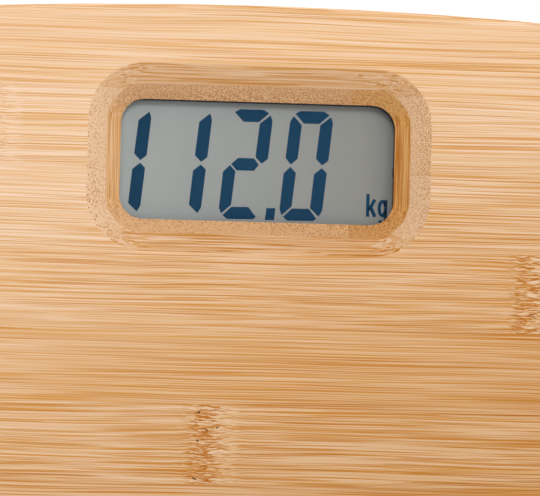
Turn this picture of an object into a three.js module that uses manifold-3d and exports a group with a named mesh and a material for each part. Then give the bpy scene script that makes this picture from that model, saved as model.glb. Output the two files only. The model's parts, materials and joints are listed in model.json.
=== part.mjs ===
// Digital bathroom scale: a cross-laminated bamboo platform on four load-cell feet, with a liquid
// crystal display behind a bevelled window and the electronics in a moulded tray underneath.
// Millimetres, +Z up, +Y towards the display edge (the front), origin on the floor under the middle.

import * as THREE from "three";
import { mergeVertices } from "three/addons/utils/BufferGeometryUtils.js";
import Module from "manifold-3d";

const wasm = await Module();
wasm.setup();

// ---------------------------------------------------------------- driving dimensions

const PLATFORM_SIZE = 300; // across the middles of opposite edges
const EDGE_ARC_RADIUS = 1250; // the edges bulge outwards
const PLATFORM_CORNER_RADIUS = 24;
const PLATFORM_TOP = 27;
const PLY = 5; // thickness of each of the three plies
const EDGE_ROUND = 1.5;

const WINDOW_Y = 109.5;
const WINDOW_WIDTH = 90; // at the top surface
const WINDOW_DEPTH = 49.2;
const WINDOW_RADIUS = 15;
const TOP_BEVEL = 5; // how far the top ply's bevel runs in
const CORE_BEVEL = 3.7; // how far the core ply's steeper bevel runs in

const FOOT_X = 110;
const FOOT_Y = 110;
const FOOT_PLAY = 0.7; // how far a foot drops when the scale is lifted

const CLEARANCE = 0.3;
const FINE = 20; // sides of the round foot pieces
const COARSE = 12; // sides of small round pieces
const SCREW_SIDES = 8;

// Levels, from the floor up.
const PLATFORM_BOTTOM = PLATFORM_TOP - 3 * PLY;
const CORE_BOTTOM = PLATFORM_BOTTOM + PLY;
const CORE_TOP = CORE_BOTTOM + PLY;
const TRAY_BOTTOM = 4;
const TRAY_FLOOR_TOP = 6;
const TRAY_WALL_TOP = CORE_BOTTOM - 0.2;
const FLANGE_BOTTOM = 10;
const PCB_BOTTOM = 9.4;
const PCB_TOP = 10.6;
const CELL_BOTTOM = 11.6; // the display cell
const CELL_TOP = 13.8;
const LENS_TOP = 15;

// Tray plan.
const TRAY_WIDTH = 124;
const TRAY_Y_LOW = 38;
const TRAY_Y_HIGH = 134;
const TRAY_WALL = 2;
const TRAY_RADIUS = 8;
const FLANGE_REACH = 7;
const TRAY_LENGTH = TRAY_Y_HIGH - TRAY_Y_LOW;
const TRAY_Y = (TRAY_Y_LOW + TRAY_Y_HIGH) / 2;

// Battery bay: two AAA cells side by side along X.
const BATTERY_RADIUS = 5.15;
const BATTERY_LENGTH = 43.3; // without the nub
const NUB_RADIUS = 1.9;
const NUB_LENGTH = 1;
const BAY_LENGTH = 52;
const BAY_WIDTH = 23;
const BAY_WALL = 1.4;
const BAY_Y = 57;
const BAY_ROOF_BOTTOM = 16.1;
const BATTERY_Z = 10.8;
const BATTERY_SPACING = 11.2;
const CONTACT_THICKNESS = 0.5;

// Battery door: it swings down about two pins on its rear edge.
const DOOR_THICKNESS = 1.4;
const DOOR_WIDTH = 55.4;
const DOOR_HINGE_Y = 42.6;
const DOOR_HINGE_Z = 5;
const DOOR_BARREL_RADIUS = 1;
const DOOR_FRONT_Y = 71.2;
const DOOR_PIN_RADIUS = 0.6;
const DOOR_PIN_REACH = 1.4;

// Unit button and the switch above it.
const BUTTON_X = 44;
const BUTTON_Y = 80;
const BUTTON_RADIUS = 3.9;
const BUTTON_FLANGE_RADIUS = 5;
const SWITCH_TIP = 7.5;
const SWITCH_BODY_BOTTOM = 7.9;

// Feet, from the floor up.
const PAD_TOP = 1.6;
const PAD_RADIUS = 18;
const CAP_RADIUS = 20.8;
const CAP_FLANGE_RADIUS = 21.8;
const HOLDER_RADIUS = 24;
const HOLDER_WALL = 1.8;
const HOLDER_LIP_BOTTOM = 4.4;
const HOLDER_LIP_TOP = 5.4;
const HOLDER_PLATE_BOTTOM = 10.4;
const LOAD_CELL_BOTTOM = 8.2;
const LOAD_CELL_TOP = 9.4;
const LOAD_CELL_SIZE = 30;
const EAR_DISTANCE = 28;
const EAR_RADIUS = 5;
const EAR_BOTTOM = 9.8;

// Cables from the load cells, in grooves routed into the bottom ply.
const CABLE_RADIUS = 1.1;
const GROOVE_WIDTH = 5;
const GROOVE_TOP = 14.6;
const CABLE_Z = 13.3;
const REAR_GROOVE_Y = 60;
const COVER_WIDTH = 12;
const COVER_THICKNESS = 0.6;

// Screws.
const SCREW_SHANK_RADIUS = 1.4;
const SCREW_HEAD_RADIUS = 3.1;
const SCREW_HEAD_HEIGHT = 1.9;
const SCREW_TIP = 18.5;
const PCB_SCREW_X = 49;
const PCB_SCREW_Y = 97;
const PCB_SCREW_SHANK_RADIUS = 1.1;
const PCB_SCREW_HEAD_RADIUS = 2.3;

// ---------------------------------------------------------------- materials

const finish = (color, roughness, metalness = 0) =>
  new THREE.MeshStandardMaterial({ color, roughness, metalness });

const BAMBOO_FACE = finish(0xe2ba8c, 0.5);
const BAMBOO_CORE = finish(0xcf9d66, 0.55);
const BLACK_FOAM = finish(0x17181a, 0.95);
const CLEAR_ACRYLIC = new THREE.MeshStandardMaterial({
  color: 0xf4f7f7,
  roughness: 0.05,
  transparent: true,
  opacity: 0.3,
});
const DISPLAY_GREY = finish(0x9ba29e, 0.3);
const ZEBRA_RUBBER = finish(0xd9a7a0, 0.7);
const DARK_PLASTIC = finish(0x2b2c2e, 0.55);
const BOARD_GREEN = finish(0x1e6a3c, 0.45);
const EPOXY_BLACK = finish(0x101011, 0.3);
const SWITCH_STEEL = finish(0xb9bcc0, 0.35, 0.9);
const SPRING_STEEL = finish(0xc9cccf, 0.3, 1);
const BATTERY_JACKET = finish(0x3c5f8c, 0.35, 0.3);
const CELL_STEEL = finish(0xa9adb1, 0.35, 1);
const PAD_RUBBER = finish(0x3a3b3d, 0.85);
const CABLE_GREY = finish(0x8c8f93, 0.6);
const SCREW_STEEL = finish(0xc2c5c8, 0.3, 1);

// ---------------------------------------------------------------- shape helpers

// A closed solid from a three.js geometry.
function solid(geometry) {
  const bare = geometry.index ? geometry.toNonIndexed() : geometry.clone();
  bare.deleteAttribute("normal");
  bare.deleteAttribute("uv");
  const merged = mergeVertices(bare, 1e-3);
  const vertProperties = new Float32Array(merged.attributes.position.array);
  const triVerts = new Uint32Array(merged.index.array);
  return new wasm.Manifold(new wasm.Mesh({ numProp: 3, vertProperties, triVerts }));
}

// A three.js geometry from a solid.
function geometryOf(body) {
  const mesh = body.getMesh();
  return new THREE.BufferGeometry()
    .setAttribute("position", new THREE.BufferAttribute(mesh.vertProperties, 3))
    .setIndex(new THREE.BufferAttribute(mesh.triVerts, 1));
}

const joined = (bodies) => bodies.reduce((all, body) => all.add(body));
const cutBy = (body, cutters) => cutters.reduce((left, cutter) => left.subtract(cutter), body);

function roundedRect(width, depth, radius) {
  const x = width / 2;
  const y = depth / 2;
  const shape = new THREE.Shape();
  shape.absarc(x - radius, y - radius, radius, 0, Math.PI / 2);
  shape.absarc(radius - x, y - radius, radius, Math.PI / 2, Math.PI);
  shape.absarc(radius - x, radius - y, radius, Math.PI, 1.5 * Math.PI);
  shape.absarc(x - radius, radius - y, radius, 1.5 * Math.PI, 2 * Math.PI);
  shape.closePath();
  return shape;
}

// A shape swept straight up from low to high.
function prism(shape, low, high, curveSegments = 3) {
  const geometry = new THREE.ExtrudeGeometry(shape, {
    depth: high - low,
    bevelEnabled: false,
    curveSegments,
  });
  return solid(geometry.translate(0, 0, low));
}

// A shape swept from low to high whose lower edge tapers in: it is reach wider above the taper.
function taperedPrism(shape, low, taperTop, high, reach, curveSegments = 4, bevelSegments = 1) {
  const geometry = new THREE.ExtrudeGeometry(shape, {
    depth: high - taperTop,
    bevelThickness: taperTop - low,
    bevelSize: reach,
    bevelSegments,
    curveSegments,
  });
  return solid(geometry.translate(0, 0, taperTop));
}

function boxBetween(x0, x1, y0, y1, z0, z1) {
  const geometry = new THREE.BoxGeometry(x1 - x0, y1 - y0, z1 - z0);
  return solid(geometry.translate((x0 + x1) / 2, (y0 + y1) / 2, (z0 + z1) / 2));
}

function cylinder(x, y, radius, low, high, sides = COARSE) {
  const geometry = new THREE.CylinderGeometry(radius, radius, high - low, sides);
  return solid(geometry.rotateX(Math.PI / 2).translate(x, y, (low + high) / 2));
}

// A profile of [radius, height] points turned about Z.
function turned(profile, sides) {
  const points = profile.map(([radius, height]) => new THREE.Vector2(radius, height));
  return solid(new THREE.LatheGeometry(points, sides).rotateX(Math.PI / 2));
}

// A round wire along a list of points.
function wire(points, radius, steps, sides) {
  const section = new THREE.Shape();
  section.absarc(0, 0, radius, 0, 2 * Math.PI);
  const geometry = new THREE.ExtrudeGeometry(section, {
    steps,
    bevelEnabled: false,
    curveSegments: sides,
    extrudePath: new THREE.CatmullRomCurve3(points, false, "centripetal"),
  });
  return solid(geometry);
}

// ---------------------------------------------------------------- the scene graph

const scale = new THREE.Group();

function addPiece(name, body, material, parent = scale) {
  const mesh = new THREE.Mesh(geometryOf(body), material.clone());
  mesh.name = name;
  parent.add(mesh);
  return mesh;
}

// ---------------------------------------------------------------- positions shared by several pieces

const FEET = [
  { name: "front_right", x: FOOT_X, y: FOOT_Y, earAngle: 0.75 * Math.PI },
  { name: "front_left", x: -FOOT_X, y: FOOT_Y, earAngle: Math.PI / 4 },
  { name: "rear_left", x: -FOOT_X, y: -FOOT_Y, earAngle: 0.75 * Math.PI },
  { name: "rear_right", x: FOOT_X, y: -FOOT_Y, earAngle: Math.PI / 4 },
];

// The two screw positions of a foot, on a line through its middle.
const earPoints = (foot) =>
  [1, -1].map((side) => [
    foot.x + side * EAR_DISTANCE * Math.cos(foot.earAngle),
    foot.y + side * EAR_DISTANCE * Math.sin(foot.earAngle),
  ]);

const FOOT_SCREWS = FEET.flatMap((foot) =>
  earPoints(foot).map(([x, y], i) => ({ name: `foot_screw_${foot.name}_${i + 1}`, x, y })),
);

const TRAY_SCREW_X = TRAY_WIDTH / 2 + FLANGE_REACH / 2;
const TRAY_SCREW_INSET = 9;
const TRAY_SCREWS = [
  { name: "tray_screw_front_right", x: TRAY_SCREW_X, y: TRAY_Y_HIGH - TRAY_SCREW_INSET },
  { name: "tray_screw_front_left", x: -TRAY_SCREW_X, y: TRAY_Y_HIGH - TRAY_SCREW_INSET },
  { name: "tray_screw_rear_left", x: -TRAY_SCREW_X, y: TRAY_Y_LOW + TRAY_SCREW_INSET },
  { name: "tray_screw_rear_right", x: TRAY_SCREW_X, y: TRAY_Y_LOW + TRAY_SCREW_INSET },
];

// ---------------------------------------------------------------- platform

// The platform's outline: four bulged edges and four round corners tangent to them, set in by inset.
function platformOutline(inset) {
  const edgeCentre = EDGE_ARC_RADIUS - PLATFORM_SIZE / 2;
  const reach = EDGE_ARC_RADIUS - PLATFORM_CORNER_RADIUS;
  const corner = (Math.sqrt(2 * reach ** 2 - edgeCentre ** 2) - edgeCentre) / 2;
  const halfAngle = Math.atan2(corner, corner + edgeCentre);
  const shape = new THREE.Shape();
  for (let side = 0; side < 4; side++) {
    const facing = (side * Math.PI) / 2;
    const diagonal = facing + Math.PI / 4;
    shape.absarc(
      -edgeCentre * Math.cos(facing),
      -edgeCentre * Math.sin(facing),
      EDGE_ARC_RADIUS - inset,
      facing - halfAngle,
      facing + halfAngle,
    );
    shape.absarc(
      corner * Math.SQRT2 * Math.cos(diagonal),
      corner * Math.SQRT2 * Math.sin(diagonal),
      PLATFORM_CORNER_RADIUS - inset,
      facing + halfAngle,
      facing + Math.PI / 2 - halfAngle,
    );
  }
  shape.closePath();
  return shape;
}

const OUTLINE_SEGMENTS = 5;
const ROUND_SEGMENTS = 2;

// A ply with its outer edge rounded on one side: the rounding of the other side is trimmed off.
function roundedPly(low, high, roundedAbove) {
  const roundLow = roundedAbove ? low : low + EDGE_ROUND;
  const roundHigh = roundedAbove ? high - EDGE_ROUND : high;
  const geometry = new THREE.ExtrudeGeometry(platformOutline(EDGE_ROUND), {
    depth: roundHigh - roundLow,
    bevelThickness: EDGE_ROUND,
    bevelSize: EDGE_ROUND,
    bevelSegments: ROUND_SEGMENTS,
    curveSegments: OUTLINE_SEGMENTS,
  });
  const slab = solid(geometry.translate(0, 0, roundLow));
  return slab.intersect(boxBetween(-PLATFORM_SIZE, PLATFORM_SIZE, -PLATFORM_SIZE, PLATFORM_SIZE, low, high));
}

// The bevelled cut that one ply takes out for the display window. It reaches a little past the
// ply's lower face along the same slope.
function windowCut(top, inset, bevel) {
  const overrun = 0.2;
  const depth = PLY + overrun;
  const reach = (bevel * depth) / PLY;
  const shape = roundedRect(
    WINDOW_WIDTH - 2 * (inset + reach),
    WINDOW_DEPTH - 2 * (inset + reach),
    WINDOW_RADIUS - inset - reach,
  );
  return taperedPrism(shape, top - depth, top, top + 2, reach).translate(0, WINDOW_Y, 0);
}

const screwHoles = [...FOOT_SCREWS, ...TRAY_SCREWS].map(({ x, y }) =>
  cylinder(x, y, SCREW_SHANK_RADIUS + CLEARANCE, PLATFORM_BOTTOM - 1, SCREW_TIP + CLEARANCE, 8),
);

function grooves() {
  const half = GROOVE_WIDTH / 2;
  const inner = TRAY_WIDTH / 2 - 1;
  const low = PLATFORM_BOTTOM - 1;
  const start = HOLDER_RADIUS - 5;
  return [1, -1].flatMap((side) => {
    const alongX = (x0, x1, y) =>
      boxBetween(Math.min(side * x0, side * x1), Math.max(side * x0, side * x1), y - half, y + half, low, GROOVE_TOP);
    const x = side * FOOT_X;
    return [
      alongX(inner, FOOT_X - start, FOOT_Y),
      alongX(inner, FOOT_X + half, REAR_GROOVE_Y),
      boxBetween(x - half, x + half, start - FOOT_Y, REAR_GROOVE_Y, low, GROOVE_TOP),
    ];
  });
}

function addPlatform() {
  const topPly = roundedPly(CORE_TOP, PLATFORM_TOP, true);
  addPiece("bamboo_top_ply", topPly.subtract(windowCut(PLATFORM_TOP, 0, TOP_BEVEL)), BAMBOO_FACE);

  const corePly = prism(platformOutline(0), CORE_BOTTOM, CORE_TOP, OUTLINE_SEGMENTS);
  const coreCuts = [windowCut(CORE_TOP, TOP_BEVEL, CORE_BEVEL), ...screwHoles];
  addPiece("bamboo_core_ply", cutBy(corePly, coreCuts), BAMBOO_CORE);

  const pocket = prism(
    roundedRect(TRAY_WIDTH + 2 * CLEARANCE, TRAY_LENGTH + 2 * CLEARANCE, TRAY_RADIUS + CLEARANCE),
    PLATFORM_BOTTOM - 1,
    CORE_BOTTOM + 1,
  ).translate(0, TRAY_Y, 0);
  const bottomPly = roundedPly(PLATFORM_BOTTOM, CORE_BOTTOM, false);
  addPiece("bamboo_bottom_ply", cutBy(bottomPly, [pocket, ...grooves(), ...screwHoles]), BAMBOO_FACE);
}

// ---------------------------------------------------------------- display

const GASKET_SHIFT_X = 0.5;
const GASKET_SHIFT_Y = 0.7;
const LENS_WIDTH = 80;
const LENS_DEPTH = 37;
const CELL_WIDTH = 84;
const CELL_DEPTH = 39;
const OPENING_WIDTH = WINDOW_WIDTH - 2 * (TOP_BEVEL + CORE_BEVEL);
const OPENING_DEPTH = WINDOW_DEPTH - 2 * (TOP_BEVEL + CORE_BEVEL);
const OPENING_RADIUS = WINDOW_RADIUS - TOP_BEVEL - CORE_BEVEL;

function addDisplay() {
  const atWindow = new THREE.Group();
  atWindow.position.y = WINDOW_Y;
  scale.add(atWindow);

  // Foam ring between the core ply and the lens. It is a little larger than the opening, and stuck
  // on slightly off centre, so that a thin line of it shows at the front and right edges.
  const setBack = 0.8;
  const gasket = prism(roundedRect(86, 43, 6), LENS_TOP, CORE_BOTTOM).subtract(
    prism(
      roundedRect(OPENING_WIDTH + setBack, OPENING_DEPTH + setBack, OPENING_RADIUS + setBack / 2),
      LENS_TOP - 1,
      CORE_BOTTOM + 1,
    ),
  );
  addPiece("window_gasket", gasket, BLACK_FOAM, atWindow).position.set(-GASKET_SHIFT_X, -GASKET_SHIFT_Y, 0);
  addPiece("display_lens", prism(roundedRect(LENS_WIDTH, LENS_DEPTH, 3), CELL_TOP, LENS_TOP), CLEAR_ACRYLIC, atWindow);
  addPiece("lcd_cell", prism(roundedRect(CELL_WIDTH, CELL_DEPTH, 0.5), CELL_BOTTOM, CELL_TOP, 1), DISPLAY_GREY, atWindow);

  // Rubber connector strips carry the segment lines from the circuit board to the cell.
  const stripLength = 72;
  const stripY = 17.4;
  for (const [name, side] of [["zebra_strip_front", 1], ["zebra_strip_rear", -1]]) {
    const strip = boxBetween(-stripLength / 2, stripLength / 2, side * stripY - 1, side * stripY + 1, PCB_TOP, CELL_BOTTOM);
    addPiece(name, strip, ZEBRA_RUBBER, atWindow);
  }
  addPiece("lcd_holder", lcdHolder(), DARK_PLASTIC, atWindow);
}

// The frame that locates cell and lens on the circuit board, with two screw lugs.
function lcdHolder() {
  const wall = 2;
  const lugTop = 14;
  const frame = prism(
    roundedRect(CELL_WIDTH + 2 * (wall + CLEARANCE), CELL_DEPTH + 2 * (wall + CLEARANCE), 2.5),
    PCB_TOP,
    LENS_TOP,
    3,
  );
  const lugs = [1, -1].map((side) =>
    prism(roundedRect(10, 9, 3), PCB_TOP, lugTop, 3).translate(side * (PCB_SCREW_X - 1), PCB_SCREW_Y - WINDOW_Y, 0),
  );
  const pilots = [1, -1].map((side) =>
    cylinder(side * PCB_SCREW_X, PCB_SCREW_Y - WINDOW_Y, PCB_SCREW_SHANK_RADIUS + CLEARANCE, PCB_TOP - 1, lugTop + 1, 8),
  );
  const pockets = [
    prism(roundedRect(CELL_WIDTH + 2 * CLEARANCE, CELL_DEPTH + 2 * CLEARANCE, 0.5), PCB_TOP - 1, CELL_TOP, 1),
    prism(roundedRect(LENS_WIDTH + 2 * CLEARANCE, LENS_DEPTH + 2 * CLEARANCE, 3), PCB_TOP, LENS_TOP + 1, 3),
  ];
  return cutBy(joined([frame, ...lugs]), [...pilots, ...pockets]);
}

// ---------------------------------------------------------------- circuit board

const PCB_WIDTH = 108;
const PCB_Y_LOW = 74;
const PCB_Y_HIGH = 131;

function addCircuitBoard() {
  const board = prism(roundedRect(PCB_WIDTH, PCB_Y_HIGH - PCB_Y_LOW, 2), PCB_BOTTOM, PCB_TOP, 2).translate(
    0,
    (PCB_Y_LOW + PCB_Y_HIGH) / 2,
    0,
  );
  const holes = [1, -1].map((side) =>
    cylinder(side * PCB_SCREW_X, PCB_SCREW_Y, PCB_SCREW_SHANK_RADIUS + CLEARANCE, PCB_BOTTOM - 1, PCB_TOP + 1, 8),
  );
  addPiece("circuit_board", cutBy(board, holes), BOARD_GREEN);

  // The controller is a bare chip under a drop of epoxy on the board's lower side.
  const blobRadius = 6.5;
  const blobHeight = 1.4;
  const blob = turned([[0, -blobHeight], [blobRadius * 0.7, -0.75 * blobHeight], [blobRadius, 0], [0, 0]], COARSE);
  addPiece("controller_chip", blob.translate(-14, 96, PCB_BOTTOM), EPOXY_BLACK);

  const body = boxBetween(BUTTON_X - 3, BUTTON_X + 3, BUTTON_Y - 3, BUTTON_Y + 3, SWITCH_BODY_BOTTOM, PCB_BOTTOM);
  const tip = cylinder(BUTTON_X, BUTTON_Y, 1.6, SWITCH_TIP, SWITCH_BODY_BOTTOM + 0.5);
  addPiece("unit_switch", body.add(tip), SWITCH_STEEL);

  for (const [name, side] of [["board_screw_right", 1], ["board_screw_left", -1]]) {
    const screw = screwBody(PCB_SCREW_HEAD_RADIUS, 1.1, PCB_SCREW_SHANK_RADIUS, PCB_BOTTOM, 13.2);
    addPiece(name, screw, SCREW_STEEL).position.set(side * PCB_SCREW_X, PCB_SCREW_Y, 0);
  }
}

// A pan-head screw pointing up, its head under seat and its tip at tip.
function screwBody(headRadius, headHeight, shankRadius, seat, tip) {
  const low = seat - headHeight;
  return turned(
    [
      [0, low],
      [headRadius * 0.75, low],
      [headRadius, low + headHeight * 0.45],
      [headRadius, seat],
      [shankRadius, seat],
      [shankRadius, tip - shankRadius],
      [0, tip],
    ],
    SCREW_SIDES,
  );
}

// ---------------------------------------------------------------- tray, door and button

const DOORWAY_X = DOOR_WIDTH / 2 + CLEARANCE;
const DOORWAY_REAR = DOOR_HINGE_Y - DOOR_BARREL_RADIUS - CLEARANCE;
const DOORWAY_FRONT = DOOR_FRONT_Y + 0.4;
const LEDGE_REACH = 1.6; // the rim around the doorway is thicker than the rest of the floor
const LEDGE_TOP = 7.4;

function trayPosts() {
  const posts = [[50, 127], [-50, 127], [30, 79], [-50, 79]];
  return posts.map(([x, y]) => cylinder(x, y, 3, TRAY_FLOOR_TOP - 1, PCB_BOTTOM));
}

function trayBody() {
  const edge = 1.5;
  const shell = taperedPrism(
    roundedRect(TRAY_WIDTH - 2 * edge, TRAY_LENGTH - 2 * edge, TRAY_RADIUS - edge),
    TRAY_BOTTOM,
    TRAY_BOTTOM + edge,
    TRAY_WALL_TOP + edge,
    edge,
    3,
    2,
  ).translate(0, TRAY_Y, 0);
  const flange = prism(
    roundedRect(TRAY_WIDTH + 2 * FLANGE_REACH, TRAY_LENGTH + 2 * FLANGE_REACH, TRAY_RADIUS + FLANGE_REACH / 2),
    FLANGE_BOTTOM,
    PLATFORM_BOTTOM,
  ).translate(0, TRAY_Y, 0);
  const cavity = prism(
    roundedRect(TRAY_WIDTH - 2 * TRAY_WALL, TRAY_LENGTH - 2 * TRAY_WALL, TRAY_RADIUS - TRAY_WALL),
    TRAY_FLOOR_TOP,
    TRAY_WALL_TOP + 5,
  ).translate(0, TRAY_Y, 0);
  const aboveWalls = boxBetween(-100, 100, 0, 200, TRAY_WALL_TOP, TRAY_WALL_TOP + 5);
  const shellOnly = cutBy(shell.add(flange), [cavity, aboveWalls]);

  const bayX = BAY_LENGTH / 2;
  const bayY = BAY_WIDTH / 2;
  const bay = boxBetween(
    -bayX - BAY_WALL,
    bayX + BAY_WALL,
    BAY_Y - bayY - BAY_WALL,
    BAY_Y + bayY + BAY_WALL,
    TRAY_FLOOR_TOP - 1,
    TRAY_WALL_TOP,
  );
  const ledge = boxBetween(
    -DOORWAY_X - LEDGE_REACH,
    DOORWAY_X + LEDGE_REACH,
    DOORWAY_REAR - LEDGE_REACH,
    DOORWAY_FRONT + LEDGE_REACH,
    TRAY_FLOOR_TOP - 1,
    LEDGE_TOP,
  );
  return joined([shellOnly, ledge, bay, ...trayPosts()]);
}

function trayCuts() {
  const bayX = BAY_LENGTH / 2;
  const bayY = BAY_WIDTH / 2;
  const doorTop = TRAY_BOTTOM + DOOR_THICKNESS + CLEARANCE;
  const bayCavity = boxBetween(-bayX, bayX, BAY_Y - bayY, BAY_Y + bayY, 0, BAY_ROOF_BOTTOM);
  const doorway = boxBetween(-DOORWAY_X, DOORWAY_X, DOORWAY_REAR, DOORWAY_FRONT, 0, doorTop);
  const barrelRadius = DOOR_BARREL_RADIUS + CLEARANCE;
  const barrelRoom = new THREE.CylinderGeometry(barrelRadius, barrelRadius, 2 * DOORWAY_X, COARSE);
  const barrelCut = solid(barrelRoom.rotateZ(Math.PI / 2).translate(0, DOOR_HINGE_Y, DOOR_HINGE_Z));
  const tongueSlot = boxBetween(-5.6, 5.6, DOORWAY_FRONT - 1.7, DOORWAY_FRONT, 0, LEDGE_TOP + 1);
  // Shallow scoop for a fingernail beside the door's latch.
  const scoop = prism(roundedRect(18, 12, 4), TRAY_BOTTOM - 1, TRAY_BOTTOM + 1).translate(0, DOORWAY_FRONT + 2, 0);
  const pinHoleRadius = DOOR_PIN_RADIUS + 0.12;
  const pinHoleLength = DOOR_WIDTH + 2 * (DOOR_PIN_REACH + CLEARANCE);
  const pinHole = new THREE.CylinderGeometry(pinHoleRadius, pinHoleRadius, pinHoleLength, COARSE);
  const pinHoles = solid(pinHole.rotateZ(Math.PI / 2).translate(0, DOOR_HINGE_Y, DOOR_HINGE_Z));
  const buttonHole = cylinder(BUTTON_X, BUTTON_Y, BUTTON_RADIUS + CLEARANCE, 0, TRAY_FLOOR_TOP + 1, 20);
  const holes = TRAY_SCREWS.map(({ x, y }) => cylinder(x, y, SCREW_SHANK_RADIUS + CLEARANCE, 0, PLATFORM_BOTTOM + 1, 8));
  const cableNotches = [1, -1].flatMap((side) =>
    [FOOT_Y, REAR_GROOVE_Y].map((y) => {
      const x = side * (TRAY_WIDTH / 2 - 1);
      return boxBetween(x - 3, x + 3, y - 1.8, y + 1.8, PLATFORM_BOTTOM, TRAY_WALL_TOP + 1);
    }),
  );
  return [bayCavity, doorway, barrelCut, tongueSlot, scoop, pinHoles, buttonHole, ...holes, ...cableNotches];
}

function doorBody() {
  const halfWidth = DOOR_WIDTH / 2;
  const top = TRAY_BOTTOM + DOOR_THICKNESS;
  const plate = prism(roundedRect(DOOR_WIDTH, DOOR_FRONT_Y - DOOR_HINGE_Y, 0.6), TRAY_BOTTOM, top, 1).translate(
    0,
    (DOOR_FRONT_Y + DOOR_HINGE_Y) / 2,
    0,
  );
  const roundAlongX = (radius, length) =>
    solid(
      new THREE.CylinderGeometry(radius, radius, length, COARSE)
        .rotateZ(Math.PI / 2)
        .translate(0, DOOR_HINGE_Y, DOOR_HINGE_Z),
    );
  const barrel = roundAlongX(DOOR_BARREL_RADIUS, DOOR_WIDTH - 0.4);
  const pins = roundAlongX(DOOR_PIN_RADIUS, DOOR_WIDTH + 2 * DOOR_PIN_REACH);
  // Latch tongue: a springy finger on the front edge with a small hook at its top.
  const tongue = boxBetween(-5, 5, DOOR_FRONT_Y - 1, DOOR_FRONT_Y - 0.2, top - 0.5, 7.6);
  const hook = boxBetween(-5, 5, DOOR_FRONT_Y - 0.6, DOOR_FRONT_Y + 0.05, 6.5, 7.2);
  // Two slots free the finger from the plate.
  const slots = [6.2, -6.2].map((x) => boxBetween(x - 0.6, x + 0.6, DOOR_FRONT_Y - 9, DOOR_FRONT_Y + 1, 0, 6));
  // A rib along the inside stops the plate bowing and holds the cells up.
  const rib = boxBetween(4 - halfWidth, halfWidth - 4, BAY_Y - 0.6, BAY_Y + 0.6, top - 0.5, 7.4);
  return cutBy(joined([plate, barrel, pins, tongue, hook, rib]), slots);
}

function addTray() {
  addPiece("electronics_tray", cutBy(trayBody(), trayCuts()), DARK_PLASTIC);
  addPiece("battery_door", doorBody(), DARK_PLASTIC);

  const buttonLow = TRAY_BOTTOM - 0.4;
  const button = turned(
    [
      [0, buttonLow],
      [BUTTON_RADIUS - 0.6, buttonLow],
      [BUTTON_RADIUS, buttonLow + 0.6],
      [BUTTON_RADIUS, TRAY_FLOOR_TOP],
      [BUTTON_FLANGE_RADIUS, TRAY_FLOOR_TOP],
      [BUTTON_FLANGE_RADIUS, TRAY_FLOOR_TOP + 0.6],
      [0, TRAY_FLOOR_TOP + 0.6],
    ],
    20,
  );
  addPiece("unit_button", button, DARK_PLASTIC).position.set(BUTTON_X, BUTTON_Y, 0);

  for (const { name, x, y } of TRAY_SCREWS) {
    const screw = screwBody(SCREW_HEAD_RADIUS, SCREW_HEAD_HEIGHT, SCREW_SHANK_RADIUS, FLANGE_BOTTOM, SCREW_TIP);
    addPiece(name, screw, SCREW_STEEL).position.set(x, y, 0);
  }
}

// ---------------------------------------------------------------- batteries and contacts

const SPRING_LENGTH = 5.2;
const SPRING_TURNS = 3;
const SPRING_WIRE_RADIUS = 0.35;
const DIMPLE_REACH = 0.8;
const PLATE_X = BAY_LENGTH / 2 - CONTACT_THICKNESS;

// A conical spring that stands on a contact plate at x = 0 and points along +X.
function batterySpring() {
  const points = [];
  const perTurn = 8;
  const base = 3.6;
  const tip = 2;
  const count = SPRING_TURNS * perTurn;
  for (let i = 0; i <= count; i++) {
    const share = i / count;
    const angle = (2 * Math.PI * i) / perTurn;
    const radius = base + (tip - base) * share;
    points.push(new THREE.Vector3(share * SPRING_LENGTH, radius * Math.cos(angle), radius * Math.sin(angle)));
  }
  return wire(points, SPRING_WIRE_RADIUS, count, 2);
}

// side is the bay end: +1 or -1. y is the cell that the spring or dimple serves.
const springAt = (side, y) =>
  batterySpring()
    .rotate([0, 0, side > 0 ? 180 : 0])
    .translate(side * (PLATE_X + 0.1), y, BATTERY_Z);

const dimpleAt = (side, y) => {
  const dimple = new THREE.CylinderGeometry(1.6, 2.4, DIMPLE_REACH + 0.2, COARSE);
  dimple.rotateZ(side > 0 ? Math.PI / 2 : -Math.PI / 2);
  return solid(dimple.translate(side * (PLATE_X - DIMPLE_REACH / 2 + 0.1), y, BATTERY_Z));
};

function plateAt(side, yLow, yHigh) {
  const x0 = Math.min(side * PLATE_X, side * (BAY_LENGTH / 2));
  return boxBetween(x0, x0 + CONTACT_THICKNESS, yLow, yHigh, BATTERY_Z - 4.4, BATTERY_Z + 4.4);
}

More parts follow.
